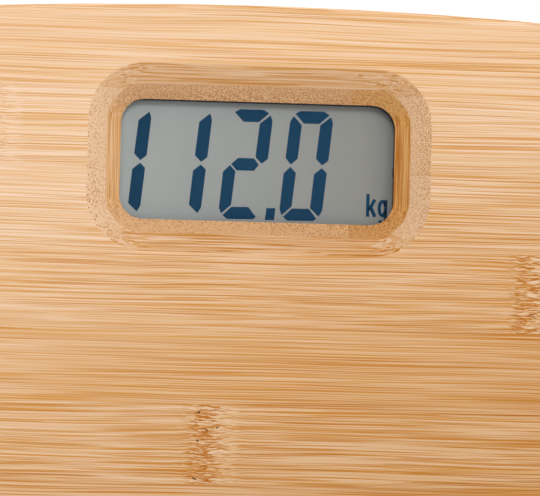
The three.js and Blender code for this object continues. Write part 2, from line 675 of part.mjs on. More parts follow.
function addBatteries() {
  const rearY = BAY_Y - BATTERY_SPACING / 2;
  const frontY = BAY_Y + BATTERY_SPACING / 2;
  const plateHalf = 4.6;
  const bridge = [plateAt(-1, rearY - plateHalf, frontY + plateHalf), springAt(-1, rearY), dimpleAt(-1, frontY)];
  addPiece("bridge_contact", joined(bridge), SPRING_STEEL);
  const negative = [plateAt(1, frontY - plateHalf, frontY + plateHalf), springAt(1, frontY)];
  addPiece("negative_contact", joined(negative), SPRING_STEEL);
  const positive = [plateAt(1, rearY - plateHalf, rearY + plateHalf), dimpleAt(1, rearY)];
  addPiece("positive_contact", joined(positive), SPRING_STEEL);

  // Each cell's nub rests against its dimple, and its flat end against the other contact's spring.
  const nubEnd = PLATE_X - DIMPLE_REACH - 0.1;
  for (const [name, y, side] of [["battery_rear", rearY, 1], ["battery_front", frontY, -1]]) {
    const low = -BATTERY_LENGTH;
    const cell = turned(
      [
        [0, low],
        [BATTERY_RADIUS - 0.5, low],
        [BATTERY_RADIUS, low + 0.5],
        [BATTERY_RADIUS, -0.5],
        [BATTERY_RADIUS - 0.5, 0],
        [NUB_RADIUS, 0],
        [NUB_RADIUS, NUB_LENGTH],
        [0, NUB_LENGTH],
      ],
      16,
    );
    const mesh = addPiece(name, cell, BATTERY_JACKET);
    mesh.rotation.y = (side * Math.PI) / 2;
    mesh.position.set(side * (nubEnd - NUB_LENGTH), y, BATTERY_Z);
  }
}

// ---------------------------------------------------------------- feet

function holderBody(foot) {
  const inner = HOLDER_RADIUS - HOLDER_WALL;
  const cup = turned(
    [
      [inner - 0.9, HOLDER_LIP_BOTTOM],
      [HOLDER_RADIUS - 0.5, HOLDER_LIP_BOTTOM],
      [HOLDER_RADIUS, HOLDER_LIP_BOTTOM + 0.5],
      [HOLDER_RADIUS, PLATFORM_BOTTOM],
      [0, PLATFORM_BOTTOM],
      [0, HOLDER_PLATE_BOTTOM],
      [inner, HOLDER_PLATE_BOTTOM],
      [inner, HOLDER_LIP_TOP],
      [inner - 0.9, HOLDER_LIP_TOP],
      [inner - 0.9, HOLDER_LIP_BOTTOM],
    ],
    FINE,
  ).translate(foot.x, foot.y, 0);
  // Two rails carry the load cell's outer frame.
  const rails = [1, -1].map((side) =>
    boxBetween(
      foot.x + side * 13 - 1.5,
      foot.x + side * 13 + 1.5,
      foot.y - 13,
      foot.y + 13,
      LOAD_CELL_TOP,
      HOLDER_PLATE_BOTTOM + 0.5,
    ),
  );
  const ears = earPoints(foot).flatMap(([x, y]) => {
    const tab = cylinder(x, y, EAR_RADIUS, EAR_BOTTOM, PLATFORM_BOTTOM, 16);
    const web = new THREE.BoxGeometry(EAR_RADIUS, 2 * EAR_RADIUS, PLATFORM_BOTTOM - EAR_BOTTOM);
    web.translate(-EAR_RADIUS / 2, 0, (PLATFORM_BOTTOM + EAR_BOTTOM) / 2);
    web.rotateZ(Math.atan2(y - foot.y, x - foot.x)).translate(x, y, 0);
    return [tab, solid(web)];
  });
  const holes = earPoints(foot).map(([x, y]) =>
    cylinder(x, y, SCREW_SHANK_RADIUS + CLEARANCE, EAR_BOTTOM - 1, PLATFORM_BOTTOM + 1, 8),
  );
  return cutBy(joined([cup, ...rails, ...ears]), [...holes, cableSlot(foot)]);
}

// The cable leaves a front foot towards the tray, and a rear foot towards the front.
const cableDirection = (foot) => (foot.y > 0 ? [-Math.sign(foot.x), 0] : [0, 1]);

function cableSlot(foot) {
  const [dx, dy] = cableDirection(foot);
  const x = foot.x + dx * (HOLDER_RADIUS - 4);
  const y = foot.y + dy * (HOLDER_RADIUS - 4);
  const halfX = dx ? 5 : 1.8;
  const halfY = dy ? 5 : 1.8;
  return boxBetween(x - halfX, x + halfX, y - halfY, y + halfY, LOAD_CELL_BOTTOM - 1, PLATFORM_BOTTOM + 1);
}

// A square steel plate with a C-shaped slot that leaves a bending tongue in its middle.
function loadCellBody(foot) {
  const low = LOAD_CELL_BOTTOM - 1;
  const high = LOAD_CELL_TOP + 1;
  const plate = prism(roundedRect(LOAD_CELL_SIZE, LOAD_CELL_SIZE, 3), LOAD_CELL_BOTTOM, LOAD_CELL_TOP, 3);
  const slot = joined([
    boxBetween(-9, 9, 7.5, 9.5, low, high),
    boxBetween(7, 9, -9, 9.5, low, high),
    boxBetween(-9, -7, -9, 9.5, low, high),
  ]);
  return plate.subtract(slot).translate(foot.x, foot.y, 0);
}

function capBody(foot) {
  const flangeBottom = HOLDER_LIP_TOP + FOOT_PLAY + 0.1;
  const flangeTop = flangeBottom + 0.8;
  const wallInner = CAP_RADIUS - 1.8;
  const floorTop = PAD_TOP + 1.6;
  const bossRadius = 4.5;
  return turned(
    [
      [0, PAD_TOP],
      [CAP_RADIUS - 0.8, PAD_TOP],
      [CAP_RADIUS, PAD_TOP + 0.8],
      [CAP_RADIUS, flangeBottom],
      [CAP_FLANGE_RADIUS, flangeBottom],
      [CAP_FLANGE_RADIUS, flangeTop],
      [wallInner, flangeTop],
      [wallInner, floorTop],
      [bossRadius, floorTop],
      [bossRadius, LOAD_CELL_BOTTOM],
      [0, LOAD_CELL_BOTTOM],
    ],
    FINE,
  ).translate(foot.x, foot.y, 0);
}

function padBody(foot) {
  const edge = 0.6;
  const profile = [[0, 0], [PAD_RADIUS - edge, 0], [PAD_RADIUS, edge], [PAD_RADIUS, PAD_TOP], [0, PAD_TOP]];
  return turned(profile, FINE).translate(foot.x, foot.y, 0);
}

function addFeet() {
  for (const foot of FEET) {
    addPiece(`foot_holder_${foot.name}`, holderBody(foot), DARK_PLASTIC);
    addPiece(`load_cell_${foot.name}`, loadCellBody(foot), CELL_STEEL);
    addPiece(`foot_cap_${foot.name}`, capBody(foot), DARK_PLASTIC);
    addPiece(`foot_pad_${foot.name}`, padBody(foot), PAD_RUBBER);
  }
  for (const { name, x, y } of FOOT_SCREWS) {
    const screw = screwBody(SCREW_HEAD_RADIUS, SCREW_HEAD_HEIGHT, SCREW_SHANK_RADIUS, EAR_BOTTOM, SCREW_TIP);
    addPiece(name, screw, SCREW_STEEL).position.set(x, y, 0);
  }
}

// ---------------------------------------------------------------- cables and their covers

// Points are [x, y, z] on the +X side; side mirrors them.
function cable(points, side, steps) {
  const route = points.map(([x, y, z]) => new THREE.Vector3(side * x, y, z));
  return wire(route, CABLE_RADIUS, steps, 3);
}

const CELL_EDGE = LOAD_CELL_SIZE / 2 + CLEARANCE;
const FRONT_CABLE = [
  [FOOT_X - CELL_EDGE, FOOT_Y, 8.9],
  [FOOT_X - 18, FOOT_Y, 9.6],
  [FOOT_X - 21, FOOT_Y, 12.4],
  [FOOT_X - 24, FOOT_Y, CABLE_Z - 0.1],
  [FOOT_X - 30, FOOT_Y, CABLE_Z],
  [66, FOOT_Y, CABLE_Z],
  [58, FOOT_Y, 13.4],
  [54, FOOT_Y, 12.2],
  [50.5, FOOT_Y + 1, 12],
];
const REAR_CABLE = [
  [FOOT_X, CELL_EDGE - FOOT_Y, 8.9],
  [FOOT_X, 18 - FOOT_Y, 9.6],
  [FOOT_X, 21 - FOOT_Y, 12.4],
  [FOOT_X, 24 - FOOT_Y, CABLE_Z - 0.1],
  [FOOT_X, 30 - FOOT_Y, CABLE_Z],
  [FOOT_X, REAR_GROOVE_Y - 12, CABLE_Z],
  [FOOT_X, REAR_GROOVE_Y - 3, CABLE_Z],
  [FOOT_X - 3, REAR_GROOVE_Y, CABLE_Z],
  [FOOT_X - 12, REAR_GROOVE_Y, CABLE_Z],
  [66, REAR_GROOVE_Y, CABLE_Z],
  [58, REAR_GROOVE_Y, 13.4],
  [51, REAR_GROOVE_Y + 5, 13.2],
  [48, REAR_GROOVE_Y + 12, 12.4],
  [47, REAR_GROOVE_Y + 17, 12],
];

function addCables() {
  const coverLow = PLATFORM_BOTTOM - COVER_THICKNESS;
  const trayEdge = TRAY_WIDTH / 2 + FLANGE_REACH + CLEARANCE;
  const holderEdge = HOLDER_RADIUS + CLEARANCE;
  for (const [label, side] of [["right", 1], ["left", -1]]) {
    addPiece(`cable_front_${label}`, cable(FRONT_CABLE, side, 18), CABLE_GREY);
    addPiece(`cable_rear_${label}`, cable(REAR_CABLE, side, 44), CABLE_GREY);

    // Strips glued over the grooves between the feet and the tray.
    const strip = (width, depth, x, y) =>
      prism(roundedRect(width, depth, 1.2), coverLow, PLATFORM_BOTTOM, 2).translate(side * x, y, 0);
    const frontLength = FOOT_X - holderEdge - trayEdge;
    const front = strip(frontLength, COVER_WIDTH, trayEdge + frontLength / 2, FOOT_Y);
    addPiece(`groove_cover_front_${label}`, front, DARK_PLASTIC);

    const outerX = FOOT_X + COVER_WIDTH / 2;
    const lowY = holderEdge - FOOT_Y;
    const highY = REAR_GROOVE_Y + COVER_WIDTH / 2;
    const along = strip(COVER_WIDTH, highY - lowY, FOOT_X, (lowY + highY) / 2);
    const across = strip(outerX - trayEdge, COVER_WIDTH, (outerX + trayEdge) / 2, REAR_GROOVE_Y);
    addPiece(`groove_cover_rear_${label}`, along.add(across), DARK_PLASTIC);
  }
}

// ---------------------------------------------------------------- assembly

addPlatform();
addDisplay();
addCircuitBoard();
addTray();
addBatteries();
addFeet();
addCables();

export default scale;
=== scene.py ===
"""Studio view of the bamboo bathroom scale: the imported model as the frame, with fine surfaces over it."""

import json
from math import atan2, copysign, cos, hypot, pi, radians, sin, sqrt, tan

import bmesh
import bpy
from mathutils import Euler, Matrix, Vector


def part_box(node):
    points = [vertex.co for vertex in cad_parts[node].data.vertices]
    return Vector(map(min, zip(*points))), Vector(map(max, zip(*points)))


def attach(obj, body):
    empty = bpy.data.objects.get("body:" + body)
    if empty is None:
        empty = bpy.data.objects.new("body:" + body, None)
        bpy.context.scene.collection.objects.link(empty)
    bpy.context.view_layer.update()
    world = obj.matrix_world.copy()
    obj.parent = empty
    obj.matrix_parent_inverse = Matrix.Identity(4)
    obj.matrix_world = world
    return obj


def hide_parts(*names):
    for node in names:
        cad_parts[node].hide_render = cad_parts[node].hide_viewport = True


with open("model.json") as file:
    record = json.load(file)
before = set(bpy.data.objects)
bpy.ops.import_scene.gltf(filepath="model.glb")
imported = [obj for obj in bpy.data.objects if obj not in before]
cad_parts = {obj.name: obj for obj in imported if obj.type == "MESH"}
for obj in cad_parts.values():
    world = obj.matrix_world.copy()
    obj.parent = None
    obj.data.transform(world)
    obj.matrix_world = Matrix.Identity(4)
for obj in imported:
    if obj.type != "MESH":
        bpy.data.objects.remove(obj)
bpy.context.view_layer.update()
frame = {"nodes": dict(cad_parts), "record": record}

MM = 0.001
scene = bpy.context.scene


def linked(name, data):
    """A new object for some data, linked into the scene."""
    thing = bpy.data.objects.new(name, data)
    scene.collection.objects.link(thing)
    return thing


# ---------- camera

CAMERA_PLACE = Vector((-0.0553, 0.0506, 0.9796))
CAMERA_TILT = Euler((0.0360, -0.0624, 0.0262), "XYZ")
CAMERA_LENS = 243.8

camera_data = bpy.data.cameras.new("camera")
camera_data.lens = CAMERA_LENS
camera_data.sensor_width = 36
camera_data.clip_start = 0.01
camera = linked("camera", camera_data)
camera.location = CAMERA_PLACE
camera.rotation_euler = CAMERA_TILT
scene.camera = camera
scene.view_settings.view_transform = "Standard"

# ---------- sizes, in millimetres


def box_mm(node):
    low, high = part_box(node)
    return Vector(low) / MM, Vector(high) / MM


def middle(node):
    low, high = box_mm(node)
    return (low + high) / 2


TOP = box_mm("bamboo_top_ply")[1].z
CORE_TOP = box_mm("bamboo_core_ply")[1].z
CORE_BOTTOM = box_mm("bamboo_core_ply")[0].z
UNDERSIDE = box_mm("bamboo_bottom_ply")[0].z
HALF = box_mm("bamboo_top_ply")[1].x
PLY = TOP - CORE_TOP

BAY_Y = (box_mm("battery_rear")[0].y + box_mm("battery_front")[1].y) / 2
BATTERY_Z = middle("battery_rear").z
GROOVE_Y = box_mm("groove_cover_rear_right")[1].y - 6.0
POCKET_WIDTH = 124.6
POCKET_LENGTH = 96.6
POCKET_RADIUS = 8.3
SCREW_HOLE_RADIUS = 1.7
NOTCH_HALF_WIDTH = 1.8

EDGE_ARC_RADIUS = 1250.0
CORNER_RADIUS = 24.0
EDGE_ROUND = 1.5

WINDOW = Vector((middle("lcd_cell").x, middle("lcd_cell").y))
WINDOW_WIDTH = 90.0
WINDOW_DEPTH = 49.2
WINDOW_RADIUS = 15.0
TOP_BEVEL = 5.0
CORE_BEVEL = 3.7

# ---------- shader helpers


def srgb(r, g, b):
    """A display colour of 0 to 255 as linear values."""

    def linear(c):
        c /= 255
        return c / 12.92 if c <= 0.04045 else ((c + 0.055) / 1.055) ** 2.4

    return (linear(r), linear(g), linear(b), 1.0)


def shade(tone, gain, lift=0.0):
    """A display colour as linear values, made darker or lighter."""
    return tuple(gain * c + lift for c in srgb(*tone)[:3]) + (1.0,)


class Shader:
    """A small builder for one material's nodes."""

    def __init__(self, roughness=0.5, metallic=0.0, **sockets):
        self.material = bpy.data.materials.new("finish")
        self.material.use_nodes = True
        self.nodes = self.material.node_tree.nodes
        self.links = self.material.node_tree.links
        self.surface = self.nodes["Principled BSDF"]
        self.set(self.surface, "Roughness", roughness)
        self.set(self.surface, "Metallic", metallic)
        for socket, value in sockets.items():
            self.set(self.surface, socket.replace("_", " "), value)
        self.place = self.nodes.new("ShaderNodeTexCoord").outputs["Object"]

    def set(self, node, socket, value):
        if isinstance(value, bpy.types.NodeSocket):
            self.links.new(value, node.inputs[socket])
        else:
            node.inputs[socket].default_value = value

    def math(self, operation, a, b=0.0, c=0.0, clamp=False):
        node = self.nodes.new("ShaderNodeMath")
        node.operation = operation
        node.use_clamp = clamp
        for index, value in enumerate((a, b, c)):
            self.set(node, index, value)
        return node.outputs[0]

    def plus(self, a, b):
        return self.math("ADD", a, b)

    def minus(self, a, b):
        return self.math("SUBTRACT", a, b)

    def times(self, a, b):
        return self.math("MULTIPLY", a, b)

    def over(self, a, b):
        return self.math("DIVIDE", a, b)

    def highest(self, *values):
        """The greatest of two or more values."""
        result = values[0]
        for value in values[1:]:
            result = self.math("MAXIMUM", result, value)
        return result

    def split(self, vector):
        node = self.nodes.new("ShaderNodeSeparateXYZ")
        self.links.new(vector, node.inputs[0])
        return node.outputs

    def join(self, x, y, z):
        node = self.nodes.new("ShaderNodeCombineXYZ")
        for index, value in enumerate((x, y, z)):
            self.set(node, index, value)
        return node.outputs[0]

    def noise(self, vector, scale, detail=2.0, roughness=0.5):
        node = self.nodes.new("ShaderNodeTexNoise")
        self.set(node, "Vector", vector)
        self.set(node, "Scale", scale)
        self.set(node, "Detail", detail)
        self.set(node, "Roughness", roughness)
        return node.outputs[0]

    def cells(self, vector, scale, randomness=1.0):
        """Distance to the nearest cell middle, and the cell's own random colour."""
        node = self.nodes.new("ShaderNodeTexVoronoi")
        self.set(node, "Vector", vector)
        self.set(node, "Scale", scale)
        self.set(node, "Randomness", randomness)
        return node.outputs["Distance"], node.outputs["Color"]

    def random(self, value):
        node = self.nodes.new("ShaderNodeTexWhiteNoise")
        node.noise_dimensions = "1D"
        self.set(node, "W", value)
        return node.outputs["Value"]

    def remap(self, value, low, high, out_low=0.0, out_high=1.0, smooth=True):
        node = self.nodes.new("ShaderNodeMapRange")
        node.interpolation_type = "SMOOTHSTEP" if smooth else "LINEAR"
        for index, item in enumerate((value, low, high, out_low, out_high)):
            self.set(node, index, item)
        return node.outputs[0]

    def mix(self, factor, a, b, blend="MIX"):
        node = self.nodes.new("ShaderNodeMix")
        node.data_type = "RGBA"
        node.blend_type = blend
        self.set(node, 0, factor)
        self.set(node, 6, a)
        self.set(node, 7, b)
        return node.outputs[2]

    def bump(self, height, depth, strength=1.0):
        node = self.nodes.new("ShaderNodeBump")
        self.set(node, "Height", height)
        self.set(node, "Distance", depth)
        self.set(node, "Strength", strength)
        self.set(self.surface, "Normal", node.outputs[0])

    def color(self, value):
        self.set(self.surface, "Base Color", value)

    def roughness(self, value):
        self.set(self.surface, "Roughness", value)


# ---------- bamboo

STRIP_PITCH = 20.6
STRIP_START = 4.0
# Tints of painted shade: the first darkens and warms the board where the light falls off, the second deepens
# its streaks there.
FALLOFF_SHADE_TINT = (0.715, 0.61, 0.45, 1.0)
FALLOFF_STREAK_TINT = (0.88, 0.70, 0.25, 1.0)
# Tint of the painted shade on the core's right-hand strips.
RIGHT_SHADE_TINT = (1.0, 0.92, 0.56, 1.0)
PIT_TONE = (84, 44, 8)


class Grain:
    """Where a point lies in one ply's fibres, in millimetres: along them, across them and in height.
    knuckles are (place along the grain, strip number, strength); knots are small ones, as (place
    along, place across, size)."""

    def __init__(self, s, along_y, seed, knuckles, knots):
        self.s = s
        x, y, z = (s.over(axis, MM) for axis in s.split(s.place))
        self.along, self.across, self.height = (y, x, z) if along_y else (x, y, z)
        raw_strip = s.over(s.minus(self.across, STRIP_START), STRIP_PITCH)
        self.strip = s.math("FLOOR", raw_strip)
        self.in_strip = s.math("FRACT", raw_strip)
        self.tone = s.random(s.plus(self.strip, seed))

        ripple = s.noise(s.join(0.0, s.times(self.across, 0.45), self.height), 1.0, 2.0)
        self.shifted = s.plus(self.along, s.times(s.minus(ripple, 0.5), 8.0))
        self.add_knots(knuckles, knots)
        self.add_fibre()

        normal = s.split(s.nodes.new("ShaderNodeNewGeometry").outputs["Normal"])
        self.end = s.remap(s.math("ABSOLUTE", normal[1 if along_y else 0]), 0.22, 0.58)
        self.slope = s.remap(s.math("ABSOLUTE", normal[2]), 0.98, 0.80)

    def add_knots(self, knuckles, knots):
        """Knuckles run across one strip: knot is their dark line, pale_knot the flesh beside it, and
        near_knot the stretch round both. A strip with a full knuckle is knotty: its fibres are short."""
        s = self.s
        self.knot = 0.0
        self.pale_knot = 0.0
        self.near_knot = 0.0
        self.knotty = 0.0
        for place, number, strength in knuckles:
            on_strip = s.math("COMPARE", self.strip, float(number), 0.5)
            if strength >= 1.0:
                self.knotty = s.highest(self.knotty, on_strip)
            side = s.minus(self.shifted, place)
            line = s.remap(s.math("ABSOLUTE", s.plus(side, 1.5)), 1.8, 6.5, strength, 0.0)
            beside = s.remap(s.math("ABSOLUTE", s.minus(side, 3.5)), 1.5, 5.5, strength, 0.0)
            around = s.remap(s.math("ABSOLUTE", side), 2.0, 14.0, strength, 0.0)
            self.knot = s.highest(self.knot, s.times(line, on_strip))
            self.pale_knot = s.highest(self.pale_knot, s.times(beside, on_strip))
            self.near_knot = s.highest(self.near_knot, s.times(around, on_strip))
        for along, across, size in knots:
            u = s.over(s.minus(self.along, along), 1.8 * size)
            v = s.over(s.minus(self.across, across), size)
            away = s.math("SQRT", s.plus(s.times(u, u), s.times(v, v)))
            self.knot = s.highest(self.knot, s.remap(away, 0.4, 1.0, 1.0, 0.0))
            self.near_knot = s.highest(self.near_knot, s.remap(away, 0.6, 2.0, 1.0, 0.0))

    def add_fibre(self):
        """Fibres wander a little along the strip, and more where they are knotted."""
        s = self.s
        slow = s.join(s.times(self.along, 0.011), s.times(self.across, 0.05), self.strip)
        quick = s.join(s.times(self.along, 0.22), s.times(self.across, 0.45), self.strip)
        bend = s.times(s.minus(s.noise(slow, 1.0, 1.0), 0.5), 2.6)
        tangle = s.times(s.minus(s.noise(quick, 1.0, 3.0), 0.5), self.near_knot)
        self.fibre = s.plus(self.across, s.plus(bend, s.times(tangle, 1.6)))
        offset = s.times(s.random(s.plus(self.strip, 40.3)), 900.0)
        shorter = s.math("MULTIPLY_ADD", self.knotty, 0.5, 1.0)
        self.seed_along = s.times(s.plus(self.along, offset), shorter)
        self.seed_height = s.plus(self.height, s.times(self.tone, 50.0))

    def stretched(self, width, length):
        """A place in a space where a fibre of this width and length is one unit each way."""
        s = self.s
        return s.join(
            s.over(self.seed_along, length),
            s.over(self.fibre, width),
            s.over(self.seed_height, width),
        )

    def bundles(self, width, length, core, rim, faintest=0.15, randomness=1.0):
        """Separate fibre bundles: 1 inside core of a bundle's middle, 0 outside rim, some fainter."""
        distance, own = self.s.cells(self.stretched(width, length), 1.0, randomness)
        depth = self.s.remap(self.s.split(own)[0], 0.15, 0.9, faintest, 1.0, smooth=False)
        return self.s.times(self.s.remap(distance, core, rim, 1.0, 0.0), depth)

    def bands(self, width, length, low, high, detail=2.0):
        """Fibres that run into one another, as noise between 0 and 1."""
        return self.s.remap(self.s.noise(self.stretched(width, length), 1.0, detail, 0.6), low, high)


def bamboo(along_y, seed, tones, skin_height, flesh_height, cut_depth, right_shade, knuckles, knots=()):
    """Flat-pressed bamboo. Its vascular bundles are long thin cells, which show as streaks on a face
    and as dots on end grain. The dots crowd together towards the culm's skin, at skin_height. tones
    are the flesh, its pale bands, its warm bands, a bundle, a bundle's dot and the flesh on end grain.
    cut_depth is how strongly bundles show where a bevel cuts them at a slant. The argument after it is how
    much painted shade, darker and more golden, lies on the strips on the right, where the window's right-hand
    wall is."""
    flesh, pale, warm, bundle, dot, lifted_cut_flesh = (srgb(*tone) for tone in tones)
    s = Shader(roughness=0.45, Coat_Weight=0.04, Coat_Roughness=0.3, Specular_IOR_Level=0.22)
    grain = Grain(s, along_y, seed, knuckles, knots)

    # Painted shade for the light's falloff: the board is painted paler towards the display edge, and darker
    # and warmer towards the user and towards the user's right below the display.
    axes = s.split(s.place)
    sideways = s.math("MINIMUM", s.times(axes[0], 3.8), s.times(axes[0], 2.0))
    sideways = s.times(sideways, s.remap(axes[1], 0.15, 0.10, 0.1, 1.0))
    painted_falloff_shade = s.plus(s.times(axes[1], -6.4), sideways)
    painted_falloff_shade = s.math("ADD", painted_falloff_shade, 1.0, clamp=True)
    # Painted shade on the strips right of the middle, where the window's right-hand wall is.
    right_shade_mask = s.times(s.remap(axes[0], 0.012, 0.040), right_shade)

    # Long grain: warm and pale bands, with bundles over them in three sizes.
    thick = grain.bundles(width=0.70, length=190.0, core=0.15, rim=0.28)
    middle_size = grain.bundles(width=0.44, length=100.0, core=0.23, rim=0.37)
    thin = grain.bundles(width=0.33, length=55.0, core=0.30, rim=0.46)
    crowd = grain.bands(7.0, 260.0, 0.34, 0.62)
    density = s.plus(s.remap(crowd, 0.0, 1.0, 0.7, 1.0), s.times(grain.near_knot, 0.3))
    warm_band = grain.bands(0.27, 64.0, 0.51, 0.58, 1.0)
    # Warm bands are stronger where the painted falloff shade is deeper.
    color = s.mix(s.times(warm_band, s.remap(painted_falloff_shade, 0.0, 0.8, 0.5, 1.0)), flesh, warm)
    color = s.mix(s.times(grain.bands(0.30, 64.0, 0.50, 0.42, 1.0), 0.8), color, pale)
    color = s.mix(s.remap(grain.tone, 0.0, 1.0, 0.0, 0.3, smooth=False), color, warm)
    streak = s.highest(thick, s.times(middle_size, 0.85), s.times(thin, 0.8))
    # Bundles show bolder where a bevel cuts them, and bolder still under the painted right-hand shade.
    cut_strength = s.times(grain.slope, s.math("MULTIPLY_ADD", right_shade_mask, 0.6, cut_depth))
    bold = s.times(grain.bands(0.8, 26.0, 0.52, 0.62, 1.0), cut_strength)
    streak = s.math("MULTIPLY", s.highest(streak, bold), density, clamp=True)
    # Streaks are darker where the painted falloff shade is deeper.
    streak = s.times(streak, s.remap(painted_falloff_shade, 0.0, 0.5, 0.85, 1.0))
    color = s.mix(streak, color, bundle)

    # End grain: even flesh with a dot for each bundle, closer and darker towards the skin.
    to_skin = s.remap(grain.height, flesh_height, skin_height, 0.55, 1.0)
    patchy = s.times(to_skin, s.remap(grain.tone, 0.0, 1.0, 0.85, 1.0, smooth=False))
    dots = s.times(grain.bundles(0.54, 60.0, 0.24, 0.50, 0.75, 0.65), patchy)
    # The end-grain flesh is lighter than the face's flesh: painted light that lifts the window's end-grain
    # bevels out of their shade.
    cut = s.mix(s.remap(grain.tone, 0.1, 0.9, 0.0, 0.4, smooth=False), lifted_cut_flesh, warm)
    cut = s.mix(s.times(grain.bands(0.24, 50.0, 0.44, 0.60), 0.4), cut, dot)
    cut = s.mix(dots, cut, dot)
    color = s.mix(grain.end, color, cut)

    # Knotted fibres: orange flecks, pale ones where the face is flat, and a few dark pits.
    fleck_place = s.join(s.times(grain.shifted, 0.28), s.times(grain.fibre, 2.9), grain.height)
    flecks = s.noise(fleck_place, 1.0, 3.0, 0.6)
    color = s.mix(s.times(grain.pale_knot, s.remap(flecks, 0.56, 0.40)), color, pale)
    dark_fleck = s.times(grain.knot, s.remap(flecks, 0.49, 0.55))
    color = s.mix(dark_fleck, color, bundle)
    flat_knot = s.times(grain.knot, s.minus(1.0, grain.slope))
    color = s.mix(s.times(flat_knot, s.remap(flecks, 0.46, 0.40)), color, pale)
    pit_place = s.join(s.over(grain.shifted, 3.4), s.over(grain.across, 2.6), grain.strip)
    pits = s.cells(pit_place, 1.0)[0]
    pit = s.times(s.remap(pits, 0.08, 0.15, 1.0, 0.0), s.remap(grain.knot, 0.5, 0.8))
    color = s.mix(pit, color, srgb(*PIT_TONE))

    # A hair-thin glue line between strips.
    seam = s.math("LESS_THAN", s.times(grain.in_strip, s.minus(1.0, grain.in_strip)), 0.006)
    color = s.mix(s.times(seam, 0.25), color, bundle)

    # Painted shade for the light's falloff: the colour is darkened and warmed towards the user, and the
    # streaks and warm bands deepen there.
    color = s.mix(painted_falloff_shade, color, FALLOFF_SHADE_TINT, "MULTIPLY")
    falloff_streak_shade = s.highest(streak, dark_fleck, s.times(warm_band, 0.8))
    falloff_streak_shade = s.times(falloff_streak_shade, s.times(painted_falloff_shade, s.minus(1.0, grain.end)))
    color = s.mix(falloff_streak_shade, color, FALLOFF_STREAK_TINT, "MULTIPLY")
    # Painted shade on the right-hand strips: darker and more golden.
    color = s.mix(right_shade_mask, color, RIGHT_SHADE_TINT, "MULTIPLY")

    s.color(color)
    pores = s.times(streak, s.minus(1.0, grain.end))
    pores = s.plus(pores, pit)
    s.bump(s.times(pores, -1.0), 0.00002, 0.4)
    s.roughness(s.remap(streak, 0.0, 1.0, 0.42, 0.54))
    return s.material


# ---------- other materials


def moulded_plastic(tone, roughness=0.48, grain=0.00003):
    """Spark-eroded plastic: a fine even grain, with slightly uneven gloss."""
    s = Shader()
    speck = s.noise(s.place, 1900.0, 2.0)
    cloud = s.noise(s.place, 55.0, 2.0)
    s.color(s.mix(s.remap(cloud, 0.3, 0.7), shade(tone, 0.82), srgb(*tone)))
    s.roughness(s.remap(cloud, 0.25, 0.75, roughness - 0.06, roughness + 0.08))
    s.bump(speck, grain, 0.8)
    return s.material


def rubber(tone, roughness=0.8):
    """Moulded rubber with a dusty bloom."""
    s = Shader()
    bloom = s.noise(s.place, 140.0, 4.0, 0.65)
    s.color(s.mix(s.remap(bloom, 0.45, 0.75), srgb(*tone), shade(tone, 1.5, 0.01)))
    s.roughness(s.remap(bloom, 0.3, 0.7, roughness - 0.08, roughness + 0.08))
    s.bump(s.noise(s.place, 1300.0, 2.0), 0.00003, 0.7)
    return s.material


def steel(tone, roughness=0.32, stretch=(1.0, 18.0, 1.0)):
    """Plated steel with a faint drawn grain."""
    s = Shader(metallic=1.0)
    axes = s.split(s.place)
    vector = s.join(*(s.times(axis, factor) for axis, factor in zip(axes, stretch)))
    drawn = s.noise(vector, 400.0, 3.0)
    stain = s.noise(s.place, 90.0, 3.0)
    s.color(s.mix(s.remap(stain, 0.4, 0.75), srgb(*tone), shade(tone, 0.75)))
    s.roughness(s.remap(drawn, 0.2, 0.8, roughness - 0.08, roughness + 0.12))
    s.bump(drawn, 0.000008, 0.5)
    return s.material


def foam():
    """Closed-cell foam: small open bubbles on the cut faces."""
    s = Shader(roughness=0.95)
    distance = s.cells(s.place, 2600.0)[0]
    s.color(s.mix(s.remap(distance, 0.1, 0.5), srgb(14, 14, 15), srgb(34, 34, 36)))
    s.bump(distance, 0.00006, 0.8)
    return s.material


def speckled(first, second, scale, detail, span=None, depth=0.0, strength=0.0, **sockets):
    """One colour with small marks of a second one, which may be raised too."""
    s = Shader(**sockets)
    marks = s.noise(s.place, scale, detail)
    s.color(s.mix(s.remap(marks, *span) if span else marks, srgb(*first), srgb(*second)))
    if depth:
        s.bump(marks, depth, strength)
    return s.material


def clear_acrylic():
    """Polished sheet: nearly invisible, with a slight haze."""
    s = Shader(roughness=0.06, IOR=1.49, Alpha=0.12, Specular_IOR_Level=0.3)
    haze = s.noise(s.place, 160.0, 3.0)
    s.color(s.mix(haze, srgb(40, 46, 46), srgb(56, 62, 62)))
    s.roughness(s.remap(haze, 0.3, 0.7, 0.03, 0.09))
    return s.material


def display_grey():
    """The reflective rear polariser seen through the cell: satin grey-green with a fine sparkle, with painted
    shade darker towards the right and at the right edge, and painted light along the left edge.
    """
    s = Shader(roughness=0.4)
    sparkle = s.noise(s.place, 3200.0, 1.0)
    cloud = s.noise(s.place, 28.0, 2.0)
    x = s.split(s.place)[0]
    base = s.mix(s.remap(cloud, 0.3, 0.7), srgb(184, 192, 191), srgb(191, 199, 197))
    # Painted shade: darker from left to right across the cell.
    base = s.mix(s.remap(x, -0.036, 0.036), base, srgb(168, 169, 164))
    # Painted shadow of the window's right-hand wall near the right edge.
    base = s.mix(s.remap(x, 0.026, 0.044), base, srgb(128, 129, 125))
    # Painted light along the left edge, against the shade of the left-hand wall.
    base = s.mix(s.remap(x, -0.0315, -0.0365), base, srgb(208, 216, 214))
    s.color(s.mix(s.remap(sparkle, 0.55, 0.8, 0.0, 0.2), base, srgb(205, 208, 204)))
    s.roughness(s.remap(sparkle, 0.3, 0.7, 0.34, 0.46))
    return s.material


